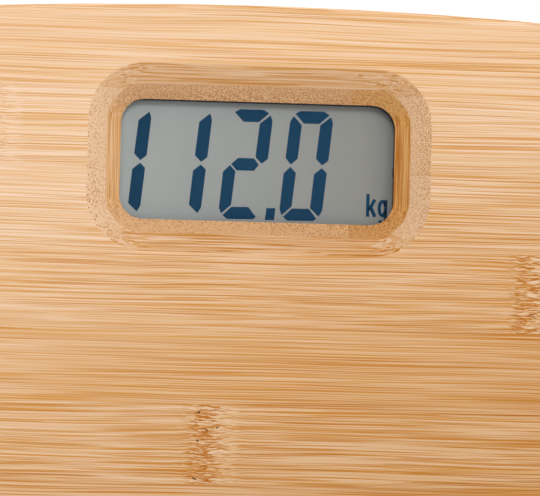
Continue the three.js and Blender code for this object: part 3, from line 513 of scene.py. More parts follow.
def circuit_green():
    """Solder resist over copper tracks that run in two directions."""
    s = Shader(roughness=0.35)
    axes = s.split(s.place)
    lanes = s.math("FRACT", s.times(axes[1], 900.0))
    wander = s.noise(s.join(s.times(axes[0], 60.0), s.times(axes[1], 420.0), 0.0), 1.0, 1.0)
    track = s.times(s.math("GREATER_THAN", lanes, 0.55), s.remap(wander, 0.48, 0.52))
    s.color(s.mix(s.times(track, 0.7), srgb(18, 84, 44), srgb(48, 132, 70)))
    s.bump(track, 0.00004, 0.8)
    return s.material


def zebra():
    """Alternate conducting and insulating layers across the strip."""
    s = Shader(roughness=0.6)
    layers = s.math("FRACT", s.times(s.split(s.place)[0], 2500.0))
    s.color(s.mix(s.math("GREATER_THAN", layers, 0.5), srgb(36, 34, 36), srgb(222, 176, 166)))
    return s.material


def battery_print():
    """A cell's shrink jacket: blue, with a copper end where its nub is. The front cell is turned round."""
    s = Shader(roughness=0.3, metallic=0.4)
    axes = s.split(s.place)
    turned_round = s.math("GREATER_THAN", axes[1], BAY_Y * MM)
    facing = s.minus(1.0, s.times(turned_round, 2.0))
    band_start = 10.5 * MM
    band = s.math("GREATER_THAN", s.times(axes[0], facing), band_start)
    scuff = s.noise(s.place, 500.0, 3.0)
    blue = s.mix(s.remap(scuff, 0.5, 0.8, 0.0, 0.3), srgb(40, 74, 122), srgb(88, 112, 148))
    s.color(s.mix(band, blue, srgb(196, 128, 70)))
    s.roughness(s.remap(scuff, 0.3, 0.8, 0.24, 0.42))
    return s.material


def floor_paint():
    """Plain white studio floor with a breath of its own light, so that it stays white near the part."""
    s = Shader(roughness=0.8)
    cloud = s.noise(s.place, 3.0, 2.0)
    s.color(s.mix(cloud, srgb(250, 250, 250), srgb(253, 253, 253)))
    s.set(s.surface, "Emission Color", (1.0, 1.0, 1.0, 1.0))
    s.set(s.surface, "Emission Strength", 0.25)
    return s.material


# In each set the last tone, the flesh on end grain, is painted lighter than the flesh: painted light against
# the shade on the window's bevels.
FACE_TONES = (
    (240, 205, 170),
    (247, 219, 196),
    (223, 162, 74),
    (202, 132, 20),
    (186, 120, 50),
    (248, 215, 180),
)
CORE_TONES = (
    (244, 196, 144),
    (250, 214, 172),
    (220, 154, 54),
    (184, 110, 10),
    (158, 92, 24),
    (248, 206, 162),
)
FACE_KNUCKLES = (
    (-11.0, 1, 1.0),
    (73.0, 3, 1.0),
    (-70.0, 5, 0.5),
    (112.0, 0, 0.9),
    (-104.0, 2, 0.9),
    (96.0, 4, 0.8),
    (118.0, 6, 0.9),
    (-96.0, -1, 0.9),
    (38.0, -2, 1.0),
    (-40.0, -4, 0.9),
    (88.0, -5, 1.0),
    (-120.0, -6, 0.8),
    (12.0, -7, 0.9),
)
FACE_KNOTS = ((-31.5, 132.6, 1.1), (26.0, 132.4, 0.6))
CORE_KNUCKLES = ((60.0, 1, 0.9), (-70.0, -3, 0.9), (-20.0, 4, 0.8))

MATERIALS = {
    "bamboo_face": bamboo(False, 3.7, FACE_TONES, TOP, CORE_TOP, 0.9, 0.0, FACE_KNUCKLES, FACE_KNOTS),
    # The core ply carries painted shade on its right-hand strips.
    "bamboo_core": bamboo(True, 23.4, CORE_TONES, CORE_BOTTOM, CORE_TOP, 0.45, 0.5, CORE_KNUCKLES),
    "gasket_foam": foam(),
    "lens_acrylic": clear_acrylic(),
    "display_glass": display_grey(),
    # Switched-on liquid crystal: deep blue with the rear polariser's sparkle showing through.
    "segment_ink": speckled(
        (16, 69, 105), (34, 85, 121), 2600.0, 2.0, (0.4, 0.75), roughness=0.42, Specular_IOR_Level=0.0
    ),
    # Ground edge of the cell's glass, with fine chips.
    "glass_edge": speckled(
        (120, 138, 132), (168, 184, 178), 700.0, 3.0, depth=0.00002, strength=0.6, roughness=0.35
    ),
    "zebra_rubber": zebra(),
    "black_plastic": moulded_plastic((46, 47, 49)),
    "board_laminate": circuit_green(),
    # A cured drop of black epoxy: glossy, with slow dimples.
    "chip_epoxy": speckled(
        (12, 12, 13), (30, 30, 32), 260.0, 2.0, depth=0.0001, strength=0.5, roughness=0.22
    ),
    "switch_metal": steel((196, 198, 202), 0.35),
    "contact_steel": steel((206, 207, 208), 0.28),
    "battery_jacket": battery_print(),
    "cell_steel": steel((184, 187, 190), 0.36),
    "pad_rubber": rubber((52, 53, 55)),
    # Soft grey sheath with faint handling marks.
    "cable_sheath": speckled(
        (150, 152, 155), (118, 120, 124), 420.0, 3.0, (0.4, 0.8), 0.00003, 0.5, roughness=0.55
    ),
    "screw_steel": steel((200, 201, 202), 0.3, (6.0, 6.0, 1.0)),
    "floor_paint": floor_paint(),
}
for name, material in MATERIALS.items():
    material.name = name

# ---------- mesh helpers


SHARP_ANGLE = radians(32)


def make_piece(name, mesh, slot, body="platform", replaces=()):
    """An object for a mesh that is in metres, riding on a body."""
    piece = linked(name, mesh)
    mesh.name = name
    if not mesh.materials:
        mesh.materials.append(MATERIALS[slot])
    mesh.shade_smooth()
    mesh.set_sharp_from_angle(angle=SHARP_ANGLE)
    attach(piece, body)
    if replaces:
        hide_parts(*replaces)


def mesh_from(vertices, faces):
    """A mesh from vertices in millimetres."""
    mesh = bpy.data.meshes.new("piece")
    mesh.from_pydata([tuple(c * MM for c in v) for v in vertices], [], faces)
    fixed = bmesh.new()
    fixed.from_mesh(mesh)
    bmesh.ops.recalc_face_normals(fixed, faces=fixed.faces)
    fixed.to_mesh(mesh)
    fixed.free()
    return mesh


def skin(loops, ring=False):
    """A mesh over loops with equal numbers of points: a closed ring of loops, or capped at both ends."""
    count = len(loops[0])
    vertices = [point for loop in loops for point in loop]
    faces = []
    last = len(loops) if ring else len(loops) - 1
    for row in range(last):
        a = row * count
        b = ((row + 1) % len(loops)) * count
        for i in range(count):
            j = (i + 1) % count
            faces.append((a + i, a + j, b + j, b + i))
    if not ring:
        faces.append(tuple(reversed(range(count))))
        faces.append(tuple(range((len(loops) - 1) * count, len(loops) * count)))
    return mesh_from(vertices, faces)


def at_height(outline, z):
    return [(x, y, z) for x, y in outline]


def loft(rows, ring=False):
    """A skin over rows of (outline, height)."""
    return skin([at_height(outline, z) for outline, z in rows], ring)


def prism(outline, low, high):
    return loft([(outline, low), (outline, high)])


def arc(x, y, radius, start, end, steps):
    """Points of an arc, without its last one."""
    turn = (end - start) / steps
    return [(x + radius * cos(start + i * turn), y + radius * sin(start + i * turn)) for i in range(steps)]


def rounded_rect(width, depth, radius, centre=(0.0, 0.0), steps=12, side_steps=6):
    """Outline of a rounded rectangle, anticlockwise from the right side."""
    x = width / 2 - radius
    y = depth / 2 - radius
    corners = ((x, y), (-x, y), (-x, -y), (x, -y))
    outline = []
    for quarter, (corner_x, corner_y) in enumerate(corners):
        start = quarter * pi / 2
        end = start + pi / 2
        outline += arc(corner_x, corner_y, radius, start, end, steps)
        next_x, next_y = corners[(quarter + 1) % 4]
        x0, y0 = corner_x + radius * cos(end), corner_y + radius * sin(end)
        x1, y1 = next_x + radius * cos(end), next_y + radius * sin(end)
        shares = [i / side_steps for i in range(side_steps)]
        outline += [(x0 + (x1 - x0) * share, y0 + (y1 - y0) * share) for share in shares]
    return [(px + centre[0], py + centre[1]) for px, py in outline]


def fillet(radius, steps):
    """(run in, rise) of a quarter round from a vertical wall to a flat top."""
    for i in range(steps + 1):
        angle = radians(90 * i / steps)
        yield radius * (1 - cos(angle)), radius * sin(angle)


def turned(profile, sides=96):
    """A profile of (radius, height) points turned about Z, with its ends on the axis."""
    vertices = []
    rows = []
    for radius, height in profile:
        if radius < 1e-6:
            rows.append([len(vertices)] * sides)
            vertices.append((0.0, 0.0, height))
            continue
        first = len(vertices)
        vertices += [
            (radius * cos(2 * pi * i / sides), radius * sin(2 * pi * i / sides), height) for i in range(sides)
        ]
        rows.append(list(range(first, first + sides)))
    faces = []
    for low, high in zip(rows, rows[1:]):
        for i in range(sides):
            j = (i + 1) % sides
            corners = []
            for corner in (low[i], low[j], high[j], high[i]):
                if corner not in corners:
                    corners.append(corner)
            faces.append(tuple(corners))
    return mesh_from(vertices, faces)


def combine(mesh, cutters, operation):
    """mesh joined with or cut by other meshes, as a new mesh."""
    base = linked("base", mesh)
    helpers = []
    for cutter in cutters:
        helper = linked("helper", cutter)
        modifier = base.modifiers.new("combine", "BOOLEAN")
        modifier.operation = operation
        modifier.solver = "EXACT"
        modifier.object = helper
        helpers.append(helper)
    depsgraph = bpy.context.evaluated_depsgraph_get()
    result = bpy.data.meshes.new_from_object(base.evaluated_get(depsgraph))
    for item in [base] + helpers:
        bpy.data.objects.remove(item)
    return result


def box_mesh(x0, x1, y0, y1, z0, z1):
    return prism([(x0, y0), (x1, y0), (x1, y1), (x0, y1)], z0, z1)


def rod_mesh(x, y, radius, low, high, sides=32):
    return prism(arc(x, y, radius, 0.0, 2 * pi, sides), low, high)


def rod_across(half_length, y, z, radius, sides=32):
    """A rod along X whose middle is at X zero."""
    ring = arc(y, z, radius, 0.0, 2 * pi, sides)
    return skin([[(x, v, w) for v, w in ring] for x in (-half_length, half_length)])


def moved(mesh, x=0.0, y=0.0, z=0.0, turn=None):
    """mesh turned by a matrix and then moved, in millimetres."""
    if turn is not None:
        mesh.transform(turn)
    mesh.transform(Matrix.Translation((x * MM, y * MM, z * MM)))
    return mesh


def softened(node, name, slot, width, sharp=40.0):
    """A copy of a CAD node with its flat faces whole and its sharp edges rounded."""
    mesh = frame["nodes"][node].data.copy()
    shape = bmesh.new()
    shape.from_mesh(mesh)
    bmesh.ops.remove_doubles(shape, verts=shape.verts, dist=1e-6)
    bmesh.ops.dissolve_limit(shape, angle_limit=radians(0.5), verts=shape.verts, edges=shape.edges)
    edges = [e for e in shape.edges if len(e.link_faces) == 2 and e.calc_face_angle() > radians(sharp)]
    bmesh.ops.bevel(
        shape, geom=edges, offset=width * MM, segments=2, profile=0.5, affect="EDGES", clamp_overlap=True
    )
    shape.to_mesh(mesh)
    shape.free()
    mesh.materials.clear()
    make_piece(name, mesh, slot, replaces=[node])


# ---------- platform


def platform_outline(inset):
    """The bulged square: four long arcs and four round corners tangent to them."""
    edge_centre = EDGE_ARC_RADIUS - HALF
    reach = EDGE_ARC_RADIUS - CORNER_RADIUS
    corner = (sqrt(2 * reach**2 - edge_centre**2) - edge_centre) / 2
    half_angle = atan2(corner, corner + edge_centre)
    outline = []
    for side in range(4):
        facing = side * pi / 2
        diagonal = facing + pi / 4
        outline += arc(
            -edge_centre * cos(facing),
            -edge_centre * sin(facing),
            EDGE_ARC_RADIUS - inset,
            facing - half_angle,
            facing + half_angle,
            48,
        )
        outline += arc(
            corner * sqrt(2) * cos(diagonal),
            corner * sqrt(2) * sin(diagonal),
            CORNER_RADIUS - inset,
            facing + half_angle,
            facing + pi / 2 - half_angle,
            24,
        )
    return outline


def bearing(x, y, centre):
    return atan2(y - centre[1], x - centre[0]) % (2 * pi)


def along_bearings(outline, centre, angles):
    """Where rays from centre at these angles cross the outline, which is convex round it."""
    polar = sorted((bearing(x, y, centre), x, y) for x, y in outline)
    before = (polar[-1][0] - 2 * pi, *polar[-1][1:])
    after = (polar[0][0] + 2 * pi, *polar[0][1:])
    polar = [before, *polar, after]
    points = []
    index = 0
    for angle in angles:
        while polar[index + 1][0] < angle:
            index += 1
        _, x0, y0 = polar[index]
        _, x1, y1 = polar[index + 1]
        dx, dy = cos(angle), sin(angle)
        ex, ey = x1 - x0, y1 - y0
        bottom = dx * ey - dy * ex
        if abs(bottom) < 1e-12:
            points.append((x0, y0))
            continue
        reach = ((x0 - centre[0]) * ey - (y0 - centre[1]) * ex) / bottom
        points.append((centre[0] + dx * reach, centre[1] + dy * reach))
    return points


def window_outline(inset):
    size = (WINDOW_WIDTH - 2 * inset, WINDOW_DEPTH - 2 * inset)
    return rounded_rect(*size, WINDOW_RADIUS - inset, WINDOW, steps=18, side_steps=8)


def ply_mesh(outer, inner, centre, reference):
    """A ply with a hole: outer and inner are lists of (outline, height), from the bottom face to the
    top face outside, and from the top face back to the bottom face inside."""
    angles = sorted({round(bearing(x, y, centre), 9) for x, y in outer[0][0] + reference})
    loops = [at_height(along_bearings(outline, centre, angles), z) for outline, z in outer + inner]
    return skin(loops, ring=True)


def add_platform():
    """The three plies, with the two-step bevel round the window."""
    rounding = list(fillet(EDGE_ROUND, 7))
    crisp = 0.12
    outer = [(platform_outline(0), CORE_TOP), (platform_outline(0), CORE_TOP + 1)]
    outer += [(platform_outline(run), TOP - EDGE_ROUND + rise) for run, rise in rounding]
    outer += [(platform_outline(EDGE_ROUND + 0.4), TOP)]
    inner = [
        (window_outline(-0.5), TOP),
        (window_outline(-crisp), TOP),
        (window_outline(crisp / 3), TOP - crisp / 2),
        (window_outline(crisp * 1.6), TOP - crisp * 1.5),
        (window_outline(TOP_BEVEL - 0.05), CORE_TOP + 0.05),
        (window_outline(TOP_BEVEL), CORE_TOP),
    ]
    mesh = ply_mesh(outer, inner, WINDOW, window_outline(TOP_BEVEL))
    make_piece("platform_top_ply", mesh, "bamboo_face", replaces=["bamboo_top_ply"])

    outer = [(platform_outline(0), CORE_BOTTOM), (platform_outline(0), CORE_TOP)]
    slope = CORE_BEVEL / PLY
    inner = [
        (window_outline(TOP_BEVEL), CORE_TOP),
        (window_outline(TOP_BEVEL + 0.3 * slope), CORE_TOP - 0.3),
        (window_outline(TOP_BEVEL + CORE_BEVEL - 0.3 * slope), CORE_BOTTOM + 0.3),
        (window_outline(TOP_BEVEL + CORE_BEVEL - 0.04), CORE_BOTTOM + 0.12),
        (window_outline(TOP_BEVEL + CORE_BEVEL + 0.05), CORE_BOTTOM),
    ]
    mesh = ply_mesh(outer, inner, WINDOW, window_outline(TOP_BEVEL))
    mesh = combine(mesh, screw_holes(), "DIFFERENCE")
    make_piece("platform_core_ply", mesh, "bamboo_core", replaces=["bamboo_core_ply"])

    centre = (0.0, middle("electronics_tray").y)
    pocket = rounded_rect(POCKET_WIDTH, POCKET_LENGTH, POCKET_RADIUS, centre, steps=10)
    outer = [(platform_outline(EDGE_ROUND + 0.4), UNDERSIDE)]
    outer += [(platform_outline(run), UNDERSIDE + EDGE_ROUND - rise) for run, rise in reversed(rounding)]
    outer += [(platform_outline(0), CORE_BOTTOM)]
    inner = [(pocket, CORE_BOTTOM), (pocket, UNDERSIDE)]
    mesh = ply_mesh(outer, inner, centre, pocket)
    mesh = combine(mesh, grooves() + screw_holes(), "DIFFERENCE")
    make_piece("platform_bottom_ply", mesh, "bamboo_face", replaces=["bamboo_bottom_ply"])


def screw_holes():
    """Pilot holes over every screw that goes into the plies."""
    holes = []
    for node in frame["nodes"]:
        if node.startswith(("foot_screw", "tray_screw")):
            place = middle(node)
            top = box_mm(node)[1].z + 0.3
            holes.append(rod_mesh(place.x, place.y, SCREW_HOLE_RADIUS, UNDERSIDE - 1, top, 16))
    return holes


def grooves():
    """Cable grooves in the lower face, under their covers."""
    half = 2.5
    top = UNDERSIDE + 2.6
    inner = 61.0
    near_foot = 19.0
    foot = middle("foot_pad_front_right")
    cuts = []
    for side in (1, -1):
        spans = [
            (inner, foot.x - near_foot, foot.y - half, foot.y + half),
            (inner, foot.x + half, GROOVE_Y - half, GROOVE_Y + half),
            (foot.x - half, foot.x + half, near_foot - foot.y, GROOVE_Y),
        ]
        for x0, x1, y0, y1 in spans:
            low, high = sorted((side * x0, side * x1))
            cuts.append(box_mesh(low, high, y0, y1, UNDERSIDE - 1, top))
    return cuts


# ---------- display

CELL_LEDGE = 1.6
COVER_RADIUS = 3.0
SLANT = tan(radians(5.6))
DIGIT_PITCH = 16.07
LAST_DIGIT_X = 13.15
DIGIT_MIDDLE = -0.5

# Each segment's corners in a digit whose middle is (0, 0), upright.
SEGMENTS = {
    "a": [(-4.55, 13.8), (-3.25, 14.6), (2.95, 14.6), (4.55, 13.7), (2.15, 11.3), (-2.0, 11.3)],
    "b": [(5.0, 13.2), (5.7, 11.6), (5.7, 1.6), (4.2, 0.3), (2.35, 2.0), (2.4, 10.9)],
    "c": [(4.2, -0.4), (5.7, -1.7), (5.7, -11.7), (4.9, -13.3), (2.4, -11.1), (2.35, -2.1)],
    "d": [(-4.5, -13.6), (-2.4, -11.35), (2.1, -11.3), (4.4, -13.9), (3.6, -14.5), (-3.2, -14.6)],
    "e": [(-4.15, -0.3), (-2.5, -1.9), (-2.55, -10.8), (-4.9, -13.2), (-5.65, -11.7), (-5.75, -2.1)],
    "f": [(-4.15, 0.3), (-2.5, 1.9), (-2.5, 10.8), (-4.9, 13.2), (-5.7, 11.6), (-5.75, 2.1)],
    "g": [(-3.85, 0.0), (-2.2, 1.65), (2.0, 1.65), (3.45, 0.0), (2.4, -1.65), (-2.2, -1.65)],
}
DIGITS = {"0": "abcdef", "1": "bc", "2": "abdeg"}
READING = "1120"


def slab(outlines, low, high):
    """Flat plates with the given outlines, one mesh."""
    vertices = []
    faces = []
    for outline in outlines:
        first = len(vertices)
        count = len(outline)
        vertices += at_height(outline, low) + at_height(outline, high)
        faces.append(tuple(first + i for i in reversed(range(count))))
        faces.append(tuple(first + count + i for i in range(count)))
        for i in range(count):
            j = (i + 1) % count
            faces.append((first + i, first + j, first + count + j, first + count + i))
    return mesh_from(vertices, faces)


def stroke(points, width):
    """Outline of a line of constant width through points, with square ends."""
    left = []
    right = []
    for i, (x, y) in enumerate(points):
        before = points[max(i - 1, 0)]
        after = points[min(i + 1, len(points) - 1)]
        dx, dy = after[0] - before[0], after[1] - before[1]
        length = hypot(dx, dy)
        nx, ny = -dy / length * width / 2, dx / length * width / 2
        left.append((x + nx, y + ny))
        right.append((x - nx, y - ny))
    return left + right[::-1]


def slanted(outline, x=0.0):
    return [(x + u + SLANT * v, v + DIGIT_MIDDLE) for u, v in outline]


def reading_outlines():
    outlines = []
    for place, digit in enumerate(READING):
        x = LAST_DIGIT_X - DIGIT_PITCH * (len(READING) - 1 - place)
        outlines += [slanted(SEGMENTS[segment], x) for segment in DIGITS[digit]]
    point = [(4.0, -14.6), (6.4, -14.6), (6.4, -11.4), (4.0, -11.4)]
    return outlines + [slanted(point)]


def unit_outlines():
    """The letters k and g."""
    baseline = -13.45
    stem = 0.9
    k_left = 29.35
    cap = 6.05
    x_height = 4.6
    k_right = 32.1
    top = baseline + cap
    letters = [[(k_left, baseline), (k_left + stem, baseline), (k_left + stem, top), (k_left, top)]]
    joint = (k_left + stem - 0.1, baseline + 1.75)
    letters.append(stroke([joint, (k_right - 0.45, baseline + x_height)], 0.9))
    letters.append(stroke([(k_left + stem + 0.45, baseline + 2.35), (k_right - 0.35, baseline)], 0.95))
    g_left, g_right = 32.4, 35.0
    middle_x = (g_left + g_right) / 2
    radius_x = (g_right - g_left - stem) / 2
    bowl = [
        (middle_x + radius_x * cos(t), baseline + x_height / 2 + (x_height / 2 - stem / 2) * sin(t))
        for t in (radians(20 + 320 * i / 26) for i in range(27))
    ]
    letters.append(stroke(bowl, stem))
    tail = baseline - 0.5
    hook = [(g_right - stem / 2, baseline + x_height), (g_right - stem / 2, tail)]
    hook += [
        (middle_x + radius_x * cos(t), tail + 0.95 * sin(t)) for t in (radians(-15 * i) for i in range(1, 11))
    ]
    letters.append(stroke(hook, stem))
    return letters


def add_display():
    """Cell with its segments, cover and seal."""
    low, high = box_mm("lcd_cell")
    width, depth = high.x - low.x, high.y - low.y
    glass = 1.0
    upper_depth = depth - 2 * CELL_LEDGE

    def pane(depth, inset=0.0, radius=0.5):
        return rounded_rect(width - 2 * inset, depth - 2 * inset, radius, WINDOW, steps=4)

    rows = [
        (pane(depth, 0.15, 0.4), low.z),
        (pane(depth), low.z + 0.15),
        (pane(depth), low.z + glass),
        (pane(upper_depth), low.z + glass + 0.05),
        (pane(upper_depth), high.z - 0.1),
        (pane(upper_depth, 0.1), high.z),
    ]
    mesh = loft(rows)
    mesh.materials.append(MATERIALS["glass_edge"])
    mesh.materials.append(MATERIALS["display_glass"])
    for face in mesh.polygons:
        face.material_index = 1 if face.center.z > (high.z - 0.05) * MM else 0
    make_piece("display_cell", mesh, "display_glass", replaces=["lcd_cell"])

    inked = reading_outlines() + unit_outlines()
    outlines = [[(x + WINDOW.x, y + WINDOW.y) for x, y in outline] for outline in inked]
    mark = rounded_rect(1.5, 2.6, 0.4, (WINDOW.x + 36.9, WINDOW.y - 1.7), steps=3, side_steps=1)
    mesh = slab(outlines + [mark], high.z + 0.005, high.z + 0.05)
    mesh.materials.append(MATERIALS["segment_ink"])
    make_piece("display_segments", mesh, "display_glass")

    low, high = box_mm("display_lens")
    width, depth = high.x - low.x, high.y - low.y
    chamfer = 0.25
    whole = rounded_rect(width, depth, COVER_RADIUS, WINDOW)
    chamfered = rounded_rect(width - 2 * chamfer, depth - 2 * chamfer, COVER_RADIUS - chamfer, WINDOW)
    rows = [
        (chamfered, low.z + 0.1),
        (whole, low.z + 0.1 + chamfer),
        (whole, high.z - chamfer),
        (chamfered, high.z),
    ]
    make_piece("display_cover", loft(rows), "lens_acrylic", replaces=["display_lens"])

    low, high = box_mm("window_gasket")
    centre = ((low.x + high.x) / 2, (low.y + high.y) / 2)
    outer = rounded_rect(high.x - low.x, high.y - low.y, 6, centre, steps=10)
    inset = TOP_BEVEL + CORE_BEVEL - 0.4
    inner = rounded_rect(
        WINDOW_WIDTH - 2 * inset, WINDOW_DEPTH - 2 * inset, WINDOW_RADIUS - inset, centre, steps=10
    )
    rows = [(outer, low.z), (outer, high.z), (inner, high.z), (inner, low.z)]
    make_piece("window_seal", loft(rows, ring=True), "gasket_foam", replaces=["window_gasket"])


# ---------- tray, battery door and button

TRAY_LOW, TRAY_HIGH = box_mm("electronics_tray")
TRAY_MIDDLE = middle("electronics_tray")
TRAY_FLANGE = 7.0
TRAY_WIDTH = TRAY_HIGH.x - TRAY_LOW.x - 2 * TRAY_FLANGE
TRAY_LENGTH = TRAY_HIGH.y - TRAY_LOW.y - 2 * TRAY_FLANGE
TRAY_RADIUS = 8.0
TRAY_FLOOR = 2.0
TRAY_WALL = 2.0
DOOR_LOW, DOOR_HIGH = box_mm("battery_door")
DOOR_HALF = DOOR_HIGH.x - 1.4
DOOR_FRONT = DOOR_HIGH.y - 0.05
DOOR_TOP = DOOR_LOW.z + 1.4
HINGE_Y = DOOR_LOW.y + 1.0
HINGE_Z = DOOR_LOW.z + 1.0
HINGE_RADIUS = 1.0
PIN_RADIUS = 0.6
BUTTON_HOLE = 4.2
LABEL_SIZE = (64.0, 22.0)
LABEL_PLACE = (-12.0, 112.0)
TRAY_POSTS = ((50.0, 127.0), (-50.0, 127.0), (30.0, 79.0), (-50.0, 79.0))
QUARTER = [radians(15 * i) for i in range(7)]


def tray_outline(inset):
    size = (TRAY_WIDTH - 2 * inset, TRAY_LENGTH - 2 * inset)
    return rounded_rect(*size, TRAY_RADIUS - inset, (0, TRAY_MIDDLE.y), steps=14)


def tray_shell():
    low, high = TRAY_LOW.z, TRAY_HIGH.z
    edge = 1.5
    flange = UNDERSIDE - 2.0
    rows = [(edge - edge * sin(a), low + edge - edge * cos(a)) for a in QUARTER]
    rows += [(0, flange - 0.6), (-0.18, flange - 0.18), (-0.6, flange)]
    rows += [(0.4 - TRAY_FLANGE, flange), (0.1 - TRAY_FLANGE, flange + 0.1), (-TRAY_FLANGE, flange + 0.4)]
    rows += [(-TRAY_FLANGE, UNDERSIDE), (0, UNDERSIDE), (0, high - 0.3), (0.3, high)]
    rows += [(TRAY_WALL - 0.3, high), (TRAY_WALL, high - 0.3), (TRAY_WALL, low + TRAY_FLOOR)]
    return loft([(tray_outline(inset), z) for inset, z in rows])


def add_tray():
    """The moulded tray: battery bay, door recess with its hinge holes, button scoop and label recess."""
    low, high = TRAY_LOW.z, TRAY_HIGH.z
    door_x = DOOR_HALF + 0.3
    door_y = (HINGE_Y - 1.3, DOOR_FRONT + 0.4)
    bay_x = box_mm("negative_contact")[1].x
    bay_y = (BAY_Y - 11.5, BAY_Y + 11.5)
    floor = low + TRAY_FLOOR
    ledge = 1.6
    wall = 1.4
    frame_y = (door_y[0] - ledge, door_y[1] + ledge)
    walls_y = (bay_y[0] - wall, bay_y[1] + wall)
    solids = [
        box_mesh(-door_x - ledge, door_x + ledge, *frame_y, floor - 0.5, low + 3.4),
        box_mesh(-bay_x - wall, bay_x + wall, *walls_y, floor - 0.4, high - 0.05),
    ]
    solids += [rod_mesh(x, y, 3.0, floor - 0.3, box_mm("circuit_board")[0].z) for x, y in TRAY_POSTS]
    shell = combine(tray_shell(), solids, "UNION")

    button = middle("unit_button")
    dish = [(BUTTON_HOLE, 0.9), (6.8, 0.9), (7.6, -0.2), (BUTTON_HOLE, -0.2), (BUTTON_HOLE, 0.9)]
    scoop = rounded_rect(18.0, 12.0, 4.0, (0, DOOR_FRONT + 2.4), side_steps=2)
    label = rounded_rect(*LABEL_SIZE, 2.0, LABEL_PLACE, side_steps=2)
    cuts = [
        box_mesh(-bay_x, bay_x, *bay_y, low - 1, high - 0.7),
        box_mesh(-door_x, door_x, *door_y, low - 1, DOOR_TOP + 0.3),
        rod_across(door_x, HINGE_Y, HINGE_Z, HINGE_RADIUS + 0.3),
        rod_across(door_x + 1.4, HINGE_Y, HINGE_Z, PIN_RADIUS + 0.12),
        box_mesh(-5.6, 5.6, door_y[1] - 1.7, door_y[1], low - 1, low + 4),
        prism(scoop, low - 1, low + 1),
        prism(label, low - 1, low + 0.3),
        rod_mesh(button.x, button.y, BUTTON_HOLE, low - 1, floor + 1, 48),
        turned_at(dish, button.x, button.y, low),
    ]
    for node in frame["nodes"]:
        if node.startswith("tray_screw"):
            place = middle(node)
            cuts.append(rod_mesh(place.x, place.y, SCREW_HOLE_RADIUS, 0, UNDERSIDE + 1, 24))
    for side in (1, -1):
        for y in (middle("foot_pad_front_right").y, GROOVE_Y):
            x = side * (TRAY_WIDTH / 2 - 1)
            notch_y = (y - NOTCH_HALF_WIDTH, y + NOTCH_HALF_WIDTH)
            cuts.append(box_mesh(x - 3, x + 3, *notch_y, UNDERSIDE, high + 1))
    mesh = combine(shell, cuts, "DIFFERENCE")
    make_piece("tray_shell", mesh, "black_plastic", replaces=["electronics_tray"])


def turned_at(profile, x, y, base, sides=64):
    """A closed profile turned about a vertical axis through (x, y)."""
    turns = [2 * pi * i / sides for i in range(sides)]
    loops = [[(x + r * cos(t), y + r * sin(t), base + z) for r, z in profile[:-1]] for t in turns]
    return skin(loops, ring=True)


def add_door():
    """The battery door on its two pins, with a sprung latch finger between two slots."""
    low = DOOR_LOW.z
    middle_y = (HINGE_Y + DOOR_FRONT) / 2
    round_edge = 0.35

    def outline(inset):
        size = (2 * (DOOR_HALF - inset), DOOR_FRONT - HINGE_Y - 2 * inset)
        return rounded_rect(*size, 0.8 - inset / 2, (0, middle_y), steps=4)

    rows = [(round_edge * (1 - sin(a)), low + round_edge * (1 - cos(a))) for a in QUARTER]
    rows += [(0, DOOR_TOP - 0.1), (0.1, DOOR_TOP)]
    plate = loft([(outline(inset), z) for inset, z in rows])
    extras = [
        rod_across(DOOR_HALF - 0.2, HINGE_Y, HINGE_Z, HINGE_RADIUS),
        rod_across(DOOR_HIGH.x, HINGE_Y, HINGE_Z, PIN_RADIUS),
        box_mesh(-5, 5, DOOR_FRONT - 1, DOOR_FRONT - 0.2, DOOR_TOP - 0.4, DOOR_HIGH.z),
        rod_across(4.9, DOOR_FRONT - 0.35, DOOR_HIGH.z - 0.75, 0.4, 16),
        box_mesh(4 - DOOR_HALF, DOOR_HALF - 4, BAY_Y - 0.6, BAY_Y + 0.6, DOOR_TOP - 0.4, low + 3.4),
    ]
    cuts = [box_mesh(x - 0.6, x + 0.6, DOOR_FRONT - 9, DOOR_FRONT + 1, low - 1, low + 2) for x in (6.2, -6.2)]
    # Grip grooves on the latch finger's root, and an arrow that points at the latch.
    for step in range(6):
        y = DOOR_FRONT - 16.0 + 1.25 * step
        cuts.append(rod_across(9.0, y, low - 0.05, 0.4, 16))
    arrow = [(-3.2, DOOR_FRONT - 20.0), (3.2, DOOR_FRONT - 20.0), (0.0, DOOR_FRONT - 17.4)]
    cuts.append(prism(arrow, low - 1, low + 0.35))
    mesh = combine(combine(plate, extras, "UNION"), cuts, "DIFFERENCE")
    make_piece("door_panel", mesh, "black_plastic", "battery_door", ["battery_door"])


def add_button():
    """A dished button with a flange that keeps it in the tray."""
    low, high = box_mm("unit_button")
    flange = (high.x - low.x) / 2
    stem = flange - 1.1
    z = low.z
    profile = [(0, z + 0.35), (1.6, z + 0.3), (2.6, z + 0.12), (3.1, z), (3.4, z + 0.03), (3.72, z + 0.25)]
    profile += [(stem, z + 0.6), (stem, high.z - 0.6), (flange - 0.1, high.z - 0.6)]
    profile += [(flange, high.z - 0.5), (flange, high.z - 0.1), (flange - 0.1, high.z), (0, high.z)]
    place = middle("unit_button")
    mesh = moved(turned(profile), place.x, place.y)
    make_piece("button_cap", mesh, "black_plastic", "unit_button", ["unit_button"])


# ---------- batteries and contacts


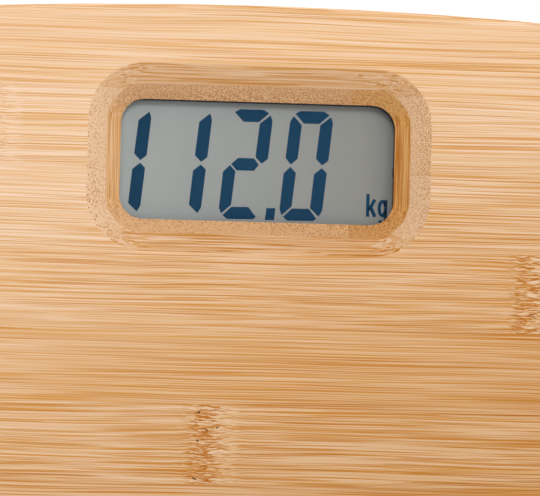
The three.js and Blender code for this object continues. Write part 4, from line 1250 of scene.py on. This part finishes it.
def add_batteries():
    """Two cells with their nubs at opposite ends of the bay."""
    for node, side in (("battery_rear", 1), ("battery_front", -1)):
        low, high = box_mm(node)
        radius = (high.y - low.y) / 2
        end = (high.x - low.x) / 2
        shoulder = end - 1.0
        base = -end
        profile = [(0, base), (3.4, base), (3.6, base + 0.15), (4.2, base + 0.15), (4.4, base)]
        profile += [(radius - 0.25, base + 0.05), (radius, base + 0.35), (radius, base + 0.9)]
        profile += [(radius - 0.08, base + 1.1), (radius - 0.08, shoulder - 1.1), (radius, shoulder - 0.9)]
        profile += [(radius, shoulder - 0.35), (radius - 0.3, shoulder), (3.6, shoulder)]
        profile += [(3.4, shoulder - 0.2), (2.2, shoulder - 0.2), (1.9, shoulder)]
        profile += [(1.85, end - 0.15), (1.7, end), (0, end)]
        turn = Euler((0, side * pi / 2, 0)).to_matrix().to_4x4()
        place = middle(node)
        mesh = moved(turned(profile, 64), place.x, place.y, place.z, turn)
        mesh.materials.append(MATERIALS["battery_jacket"])
        mesh.materials.append(MATERIALS["cell_steel"])
        for face in mesh.polygons:
            bare = abs(face.center.x / MM - place.x) > shoulder - 0.3 and hypot(
                face.center.y / MM - place.y, face.center.z / MM - place.z
            ) < radius - 0.4
            face.material_index = 1 if bare else 0
        make_piece(node.replace("battery", "cell"), mesh, "battery_jacket", replaces=[node])


def spring_mesh(x, y, side, length):
    """A conical spring from a contact plate at x towards the middle of the bay."""
    turns = 4.0
    wire = 0.35
    section = [2 * pi * i / 10 for i in range(10)]
    steps = int(turns * 28)
    loops = []
    for i in range(steps + 1):
        share = i / steps
        angle = 2 * pi * turns * share
        radius = 3.6 - 1.6 * share
        rise = (length - wire) * min(1.0, max(0.0, (share - 0.08) / 0.84))
        centre = Vector((x - side * rise, y + radius * cos(angle), BATTERY_Z + radius * sin(angle)))
        outwards = Vector((0, cos(angle), sin(angle)))
        inwards = Vector((-side, 0, 0))
        loops.append([tuple(centre + wire * (cos(t) * outwards + sin(t) * inwards)) for t in section])
    return skin(loops)


def add_contacts():
    """Plates at the ends of the bay, each with a spring or a dimple where a cell meets it."""
    rear_y = middle("battery_rear").y
    front_y = middle("battery_front").y
    for node, side, spring_y, dimple_y in (
        ("bridge_contact", -1, rear_y, front_y),
        ("negative_contact", 1, front_y, None),
        ("positive_contact", 1, None, rear_y),
    ):
        low, high = box_mm(node)
        plate_x = high.x if side > 0 else low.x
        inner = plate_x - side * 0.5
        x0, x1 = sorted((plate_x, inner))
        ends = [y for y in (spring_y, dimple_y) if y is not None]
        pieces = []
        if spring_y is not None:
            pieces.append(spring_mesh(inner - side * 0.2, spring_y, side, 5.0))
        if dimple_y is not None:
            dimple = [(0, -0.1), (2.4, -0.1), (2.0, 0.35), (1.2, 0.7), (0, 0.8)]
            turn = Euler((0, -side * pi / 2, 0)).to_matrix().to_4x4()
            pieces.append(moved(turned(dimple, 32), inner, dimple_y, BATTERY_Z, turn))
        plate = box_mesh(x0, x1, min(ends) - 4.6, max(ends) + 4.6, BATTERY_Z - 4.4, BATTERY_Z + 4.4)
        mesh = combine(plate, pieces, "UNION")
        make_piece(node.replace("contact", "plate"), mesh, "contact_steel", replaces=[node])


# ---------- feet

EAR_HALF_WIDTH = 5.0
NOTCH_REACH = 20.0
NOTCH_HALF_LENGTH = 5.0


def add_feet():
    for corner in ("front_right", "front_left", "rear_left", "rear_right"):
        body = "foot_" + corner
        place = middle("foot_pad_" + corner)
        add_pad(corner, body, place)
        add_cap(corner, body, place)
        add_holder(corner, place)
        softened("load_cell_" + corner, "strain_plate_" + corner, "cell_steel", width=0.12)


def add_pad(corner, body, place):
    """Ribbed rubber that stands on the floor."""
    low, high = box_mm("foot_pad_" + corner)
    radius = (high.x - low.x) / 2
    profile = [(0, 0.5), (2.6, 0.5)]
    for start in (3.2, 7.4, 11.6):
        rib = ((0.0, 0.12), (0.2, 0.0), (2.6, 0.0), (2.8, 0.12), (3.2, 0.6), (3.8, 0.6))
        profile += [(start + run, height) for run, height in rib]
    profile += [(15.8, 0.12), (16.0, 0.0), (radius - 0.6, 0.0), (radius - 0.18, 0.18), (radius, 0.6)]
    profile += [(radius, high.z - 0.05), (0, high.z)]
    mesh = moved(turned(profile), place.x, place.y)
    make_piece("grip_pad_" + corner, mesh, "pad_rubber", body, ["foot_pad_" + corner])


def add_cap(corner, body, place):
    """The cap that carries the pad, with a post under the load cell."""
    low, high = box_mm("foot_cap_" + corner)
    flange = (high.x - low.x) / 2
    radius = flange - 1.0
    base = low.z
    lip = base + 4.6
    profile = [(0, base)] + [(radius - 0.9 * (1 - sin(a)), base + 0.9 * (1 - cos(a))) for a in QUARTER]
    profile += [(radius, lip - 0.15), (radius + 0.1, lip), (flange - 0.15, lip), (flange, lip + 0.15)]
    profile += [(flange, lip + 0.65), (flange - 0.15, lip + 0.8), (radius - 1.8, lip + 0.8)]
    profile += [(radius - 1.8, base + 1.9), (radius - 2.1, base + 1.6), (4.8, base + 1.6), (4.5, base + 1.9)]
    profile += [(4.5, high.z - 0.2), (4.3, high.z), (0, high.z)]
    mesh = moved(turned(profile), place.x, place.y)
    make_piece("foot_cup_" + corner, mesh, "black_plastic", body, ["foot_cap_" + corner])


def holder_ear(place, screw, reach, low):
    """A flat ear round one screw, from reach away from the foot's middle, with its low edge drawn in."""
    away = Vector((screw.x - place.x, screw.y - place.y)).normalized()
    sideways = Vector((-away.y, away.x)) * EAR_HALF_WIDTH
    far = Vector((screw.x, screw.y))
    root = Vector((place.x, place.y)) + away * reach
    turn = atan2(-sideways.y, -sideways.x)
    outline = [(root - sideways).to_tuple()]
    outline += arc(far.x, far.y, EAR_HALF_WIDTH, turn, turn + pi, 20)
    outline += [(far + sideways).to_tuple(), (root + sideways).to_tuple()]
    inset = [tuple(far + (Vector(point) - far) * 0.94) for point in outline]
    return loft([(inset, low), (outline, low + 0.3), (outline, UNDERSIDE)])


def add_holder(corner, place):
    """A round cup with two ears for its screws, and an inner lip that catches the cap's flange."""
    radius = 24.0
    wall = 1.8
    base = box_mm("foot_holder_" + corner)[0].z
    plate = UNDERSIDE - 1.6
    inner = radius - wall
    start = (inner - 0.9, base + 0.25)
    profile = [start, (inner - 0.7, base), (radius - 0.8, base), (radius - 0.25, base + 0.2)]
    profile += [(radius, base + 0.8), (radius + 0.25, UNDERSIDE - 0.4), (radius + 0.25, UNDERSIDE)]
    profile += [(1.0, UNDERSIDE), (1.0, plate), (inner, plate), (inner, base + 1.0)]
    profile += [(inner - 0.9, base + 1.0), start]
    cup = turned_at(profile, place.x, place.y, 0.0, 96)
    screws = [middle(f"foot_screw_{corner}_{i}") for i in (1, 2)]
    ear = UNDERSIDE - 2.2
    extras = [rod_mesh(place.x, place.y, 2.0, plate, UNDERSIDE, 24)]
    extras += [holder_ear(place, screw, inner + 0.6, ear) for screw in screws]
    for side in (1, -1):
        x = place.x + side * 13
        extras.append(box_mesh(x - 1.5, x + 1.5, place.y - 13, place.y + 13, plate - 1.0, plate + 0.5))
    cuts = [rod_mesh(screw.x, screw.y, SCREW_HOLE_RADIUS, ear - 1, UNDERSIDE + 1, 24) for screw in screws]
    cuts += [rod_mesh(screw.x, screw.y, 3.4, ear - 1, ear, 24) for screw in screws]
    # The cable leaves a front foot towards the tray, and a rear foot towards the front.
    if place.y > 0:
        x, y = place.x - copysign(NOTCH_REACH, place.x), place.y
        half_x, half_y = NOTCH_HALF_LENGTH, NOTCH_HALF_WIDTH
    else:
        x, y = place.x, place.y + NOTCH_REACH
        half_x, half_y = NOTCH_HALF_WIDTH, NOTCH_HALF_LENGTH
    cuts.append(box_mesh(x - half_x, x + half_x, y - half_y, y + half_y, base + 2.8, UNDERSIDE + 1))
    mesh = combine(combine(cup, extras, "UNION"), cuts, "DIFFERENCE")
    make_piece("foot_ring_" + corner, mesh, "black_plastic", replaces=["foot_holder_" + corner])


# ---------- screws and covers


THREAD_PITCH = 1.1
SLOT_HALF_WIDTH = 0.34


def add_screws():
    """Pan-head screws with a cross recess and a coarse thread."""
    for node in sorted(frame["nodes"]):
        if "_screw_" not in node:
            continue
        low, high = box_mm(node)
        head = (high.x - low.x) / 2 * 1.04
        board = node.startswith("board")
        height = 1.1 if board else 1.9
        shank = 1.1 if board else 1.4
        root = shank * 0.76
        seat = low.z + height
        profile = [(0, low.z), (head * 0.45, low.z + 0.05), (head * 0.78, low.z + height * 0.2)]
        profile += [(head * 0.96, low.z + height * 0.55), (head, low.z + height * 0.85), (head * 0.98, seat)]
        profile += [(shank * 0.8, seat)]
        for ridge in range(int((high.z - seat - 2.2) / THREAD_PITCH)):
            z = seat + 0.4 + THREAD_PITCH * ridge
            profile += [(root, z), (shank, z + THREAD_PITCH * 0.45), (root, z + THREAD_PITCH * 0.9)]
        profile += [(shank * 0.7, high.z - 1.6), (0, high.z)]
        place = middle(node)
        depth = height * 0.62
        cross = []
        for half_x, half_y in ((head * 0.5, SLOT_HALF_WIDTH), (SLOT_HALF_WIDTH, head * 0.5)):
            cross.append(box_mesh(-half_x, half_x, -half_y, half_y, low.z - 1, low.z + depth))
        mesh = combine(turned(profile, 40), cross, "DIFFERENCE")
        angle = (place.x * 7.3 + place.y * 3.1) % 90
        turn = Euler((0, 0, radians(angle))).to_matrix().to_4x4()
        name = node.replace("_screw_", "_fastener_")
        make_piece(name, moved(mesh, place.x, place.y, 0.0, turn), "screw_steel", replaces=[node])


def add_small_parts():
    """Groove covers and what is on the board, with their sharp edges softened."""
    for side in ("right", "left"):
        for end in ("front", "rear"):
            node = f"groove_cover_{end}_{side}"
            softened(node, f"cable_strip_{end}_{side}", "black_plastic", width=0.18)
    softened("lcd_holder", "display_frame", "black_plastic", width=0.15)
    softened("circuit_board", "control_board", "board_laminate", width=0.08)
    softened("controller_chip", "chip_blob", "chip_epoxy", width=0.3, sharp=20.0)
    softened("unit_switch", "tact_switch", "switch_metal", width=0.12)


# ---------- stage


def add_stage():
    """Pale floor, even surroundings, a soft key light from behind the display and a weaker side one."""
    reach = 2.2
    vertices = [(-reach, -reach, 0), (reach, -reach, 0), (reach, reach, 0), (-reach, reach, 0)]
    mesh = bpy.data.meshes.new("floor")
    mesh.from_pydata(vertices, [], [(0, 1, 2, 3)])
    mesh.materials.append(MATERIALS["floor_paint"])
    floor = linked("floor", mesh)
    floor.location.z = -0.0002

    world = bpy.data.worlds.new("studio")
    scene.world = world
    world.use_nodes = True
    background = world.node_tree.nodes["Background"]
    background.inputs["Color"].default_value = (1.0, 1.0, 1.0, 1.0)
    background.inputs["Strength"].default_value = 0.76

    window = Vector((0.0, WINDOW.y * MM, TOP * MM))
    for name, place, size, power in (
        ("key", (-0.04, 0.66, 1.34), 0.34, 5.4),
        ("side", (0.62, 0.38, 1.0), 0.4, 1.4),
    ):
        data = bpy.data.lights.new(name, "AREA")
        data.shape = "SQUARE"
        data.size = size
        data.energy = power
        lamp = linked(name, data)
        lamp.location = place
        lamp.rotation_euler = (window - Vector(place)).to_track_quat("-Z", "Y").to_euler()


# ---------- CAD nodes that keep their shape


def finish_nodes():
    """Every CAD node takes its slot's material, whether it is shown or replaced."""
    for part in frame["record"]["subparts"]:
        node = frame["nodes"][part["node"]]
        node.data.materials.clear()
        node.data.materials.append(MATERIALS[part["material_slot"]])


finish_nodes()
add_platform()
add_display()
add_tray()
add_door()
add_button()
add_batteries()
add_contacts()
add_feet()
add_screws()
add_small_parts()
add_stage()
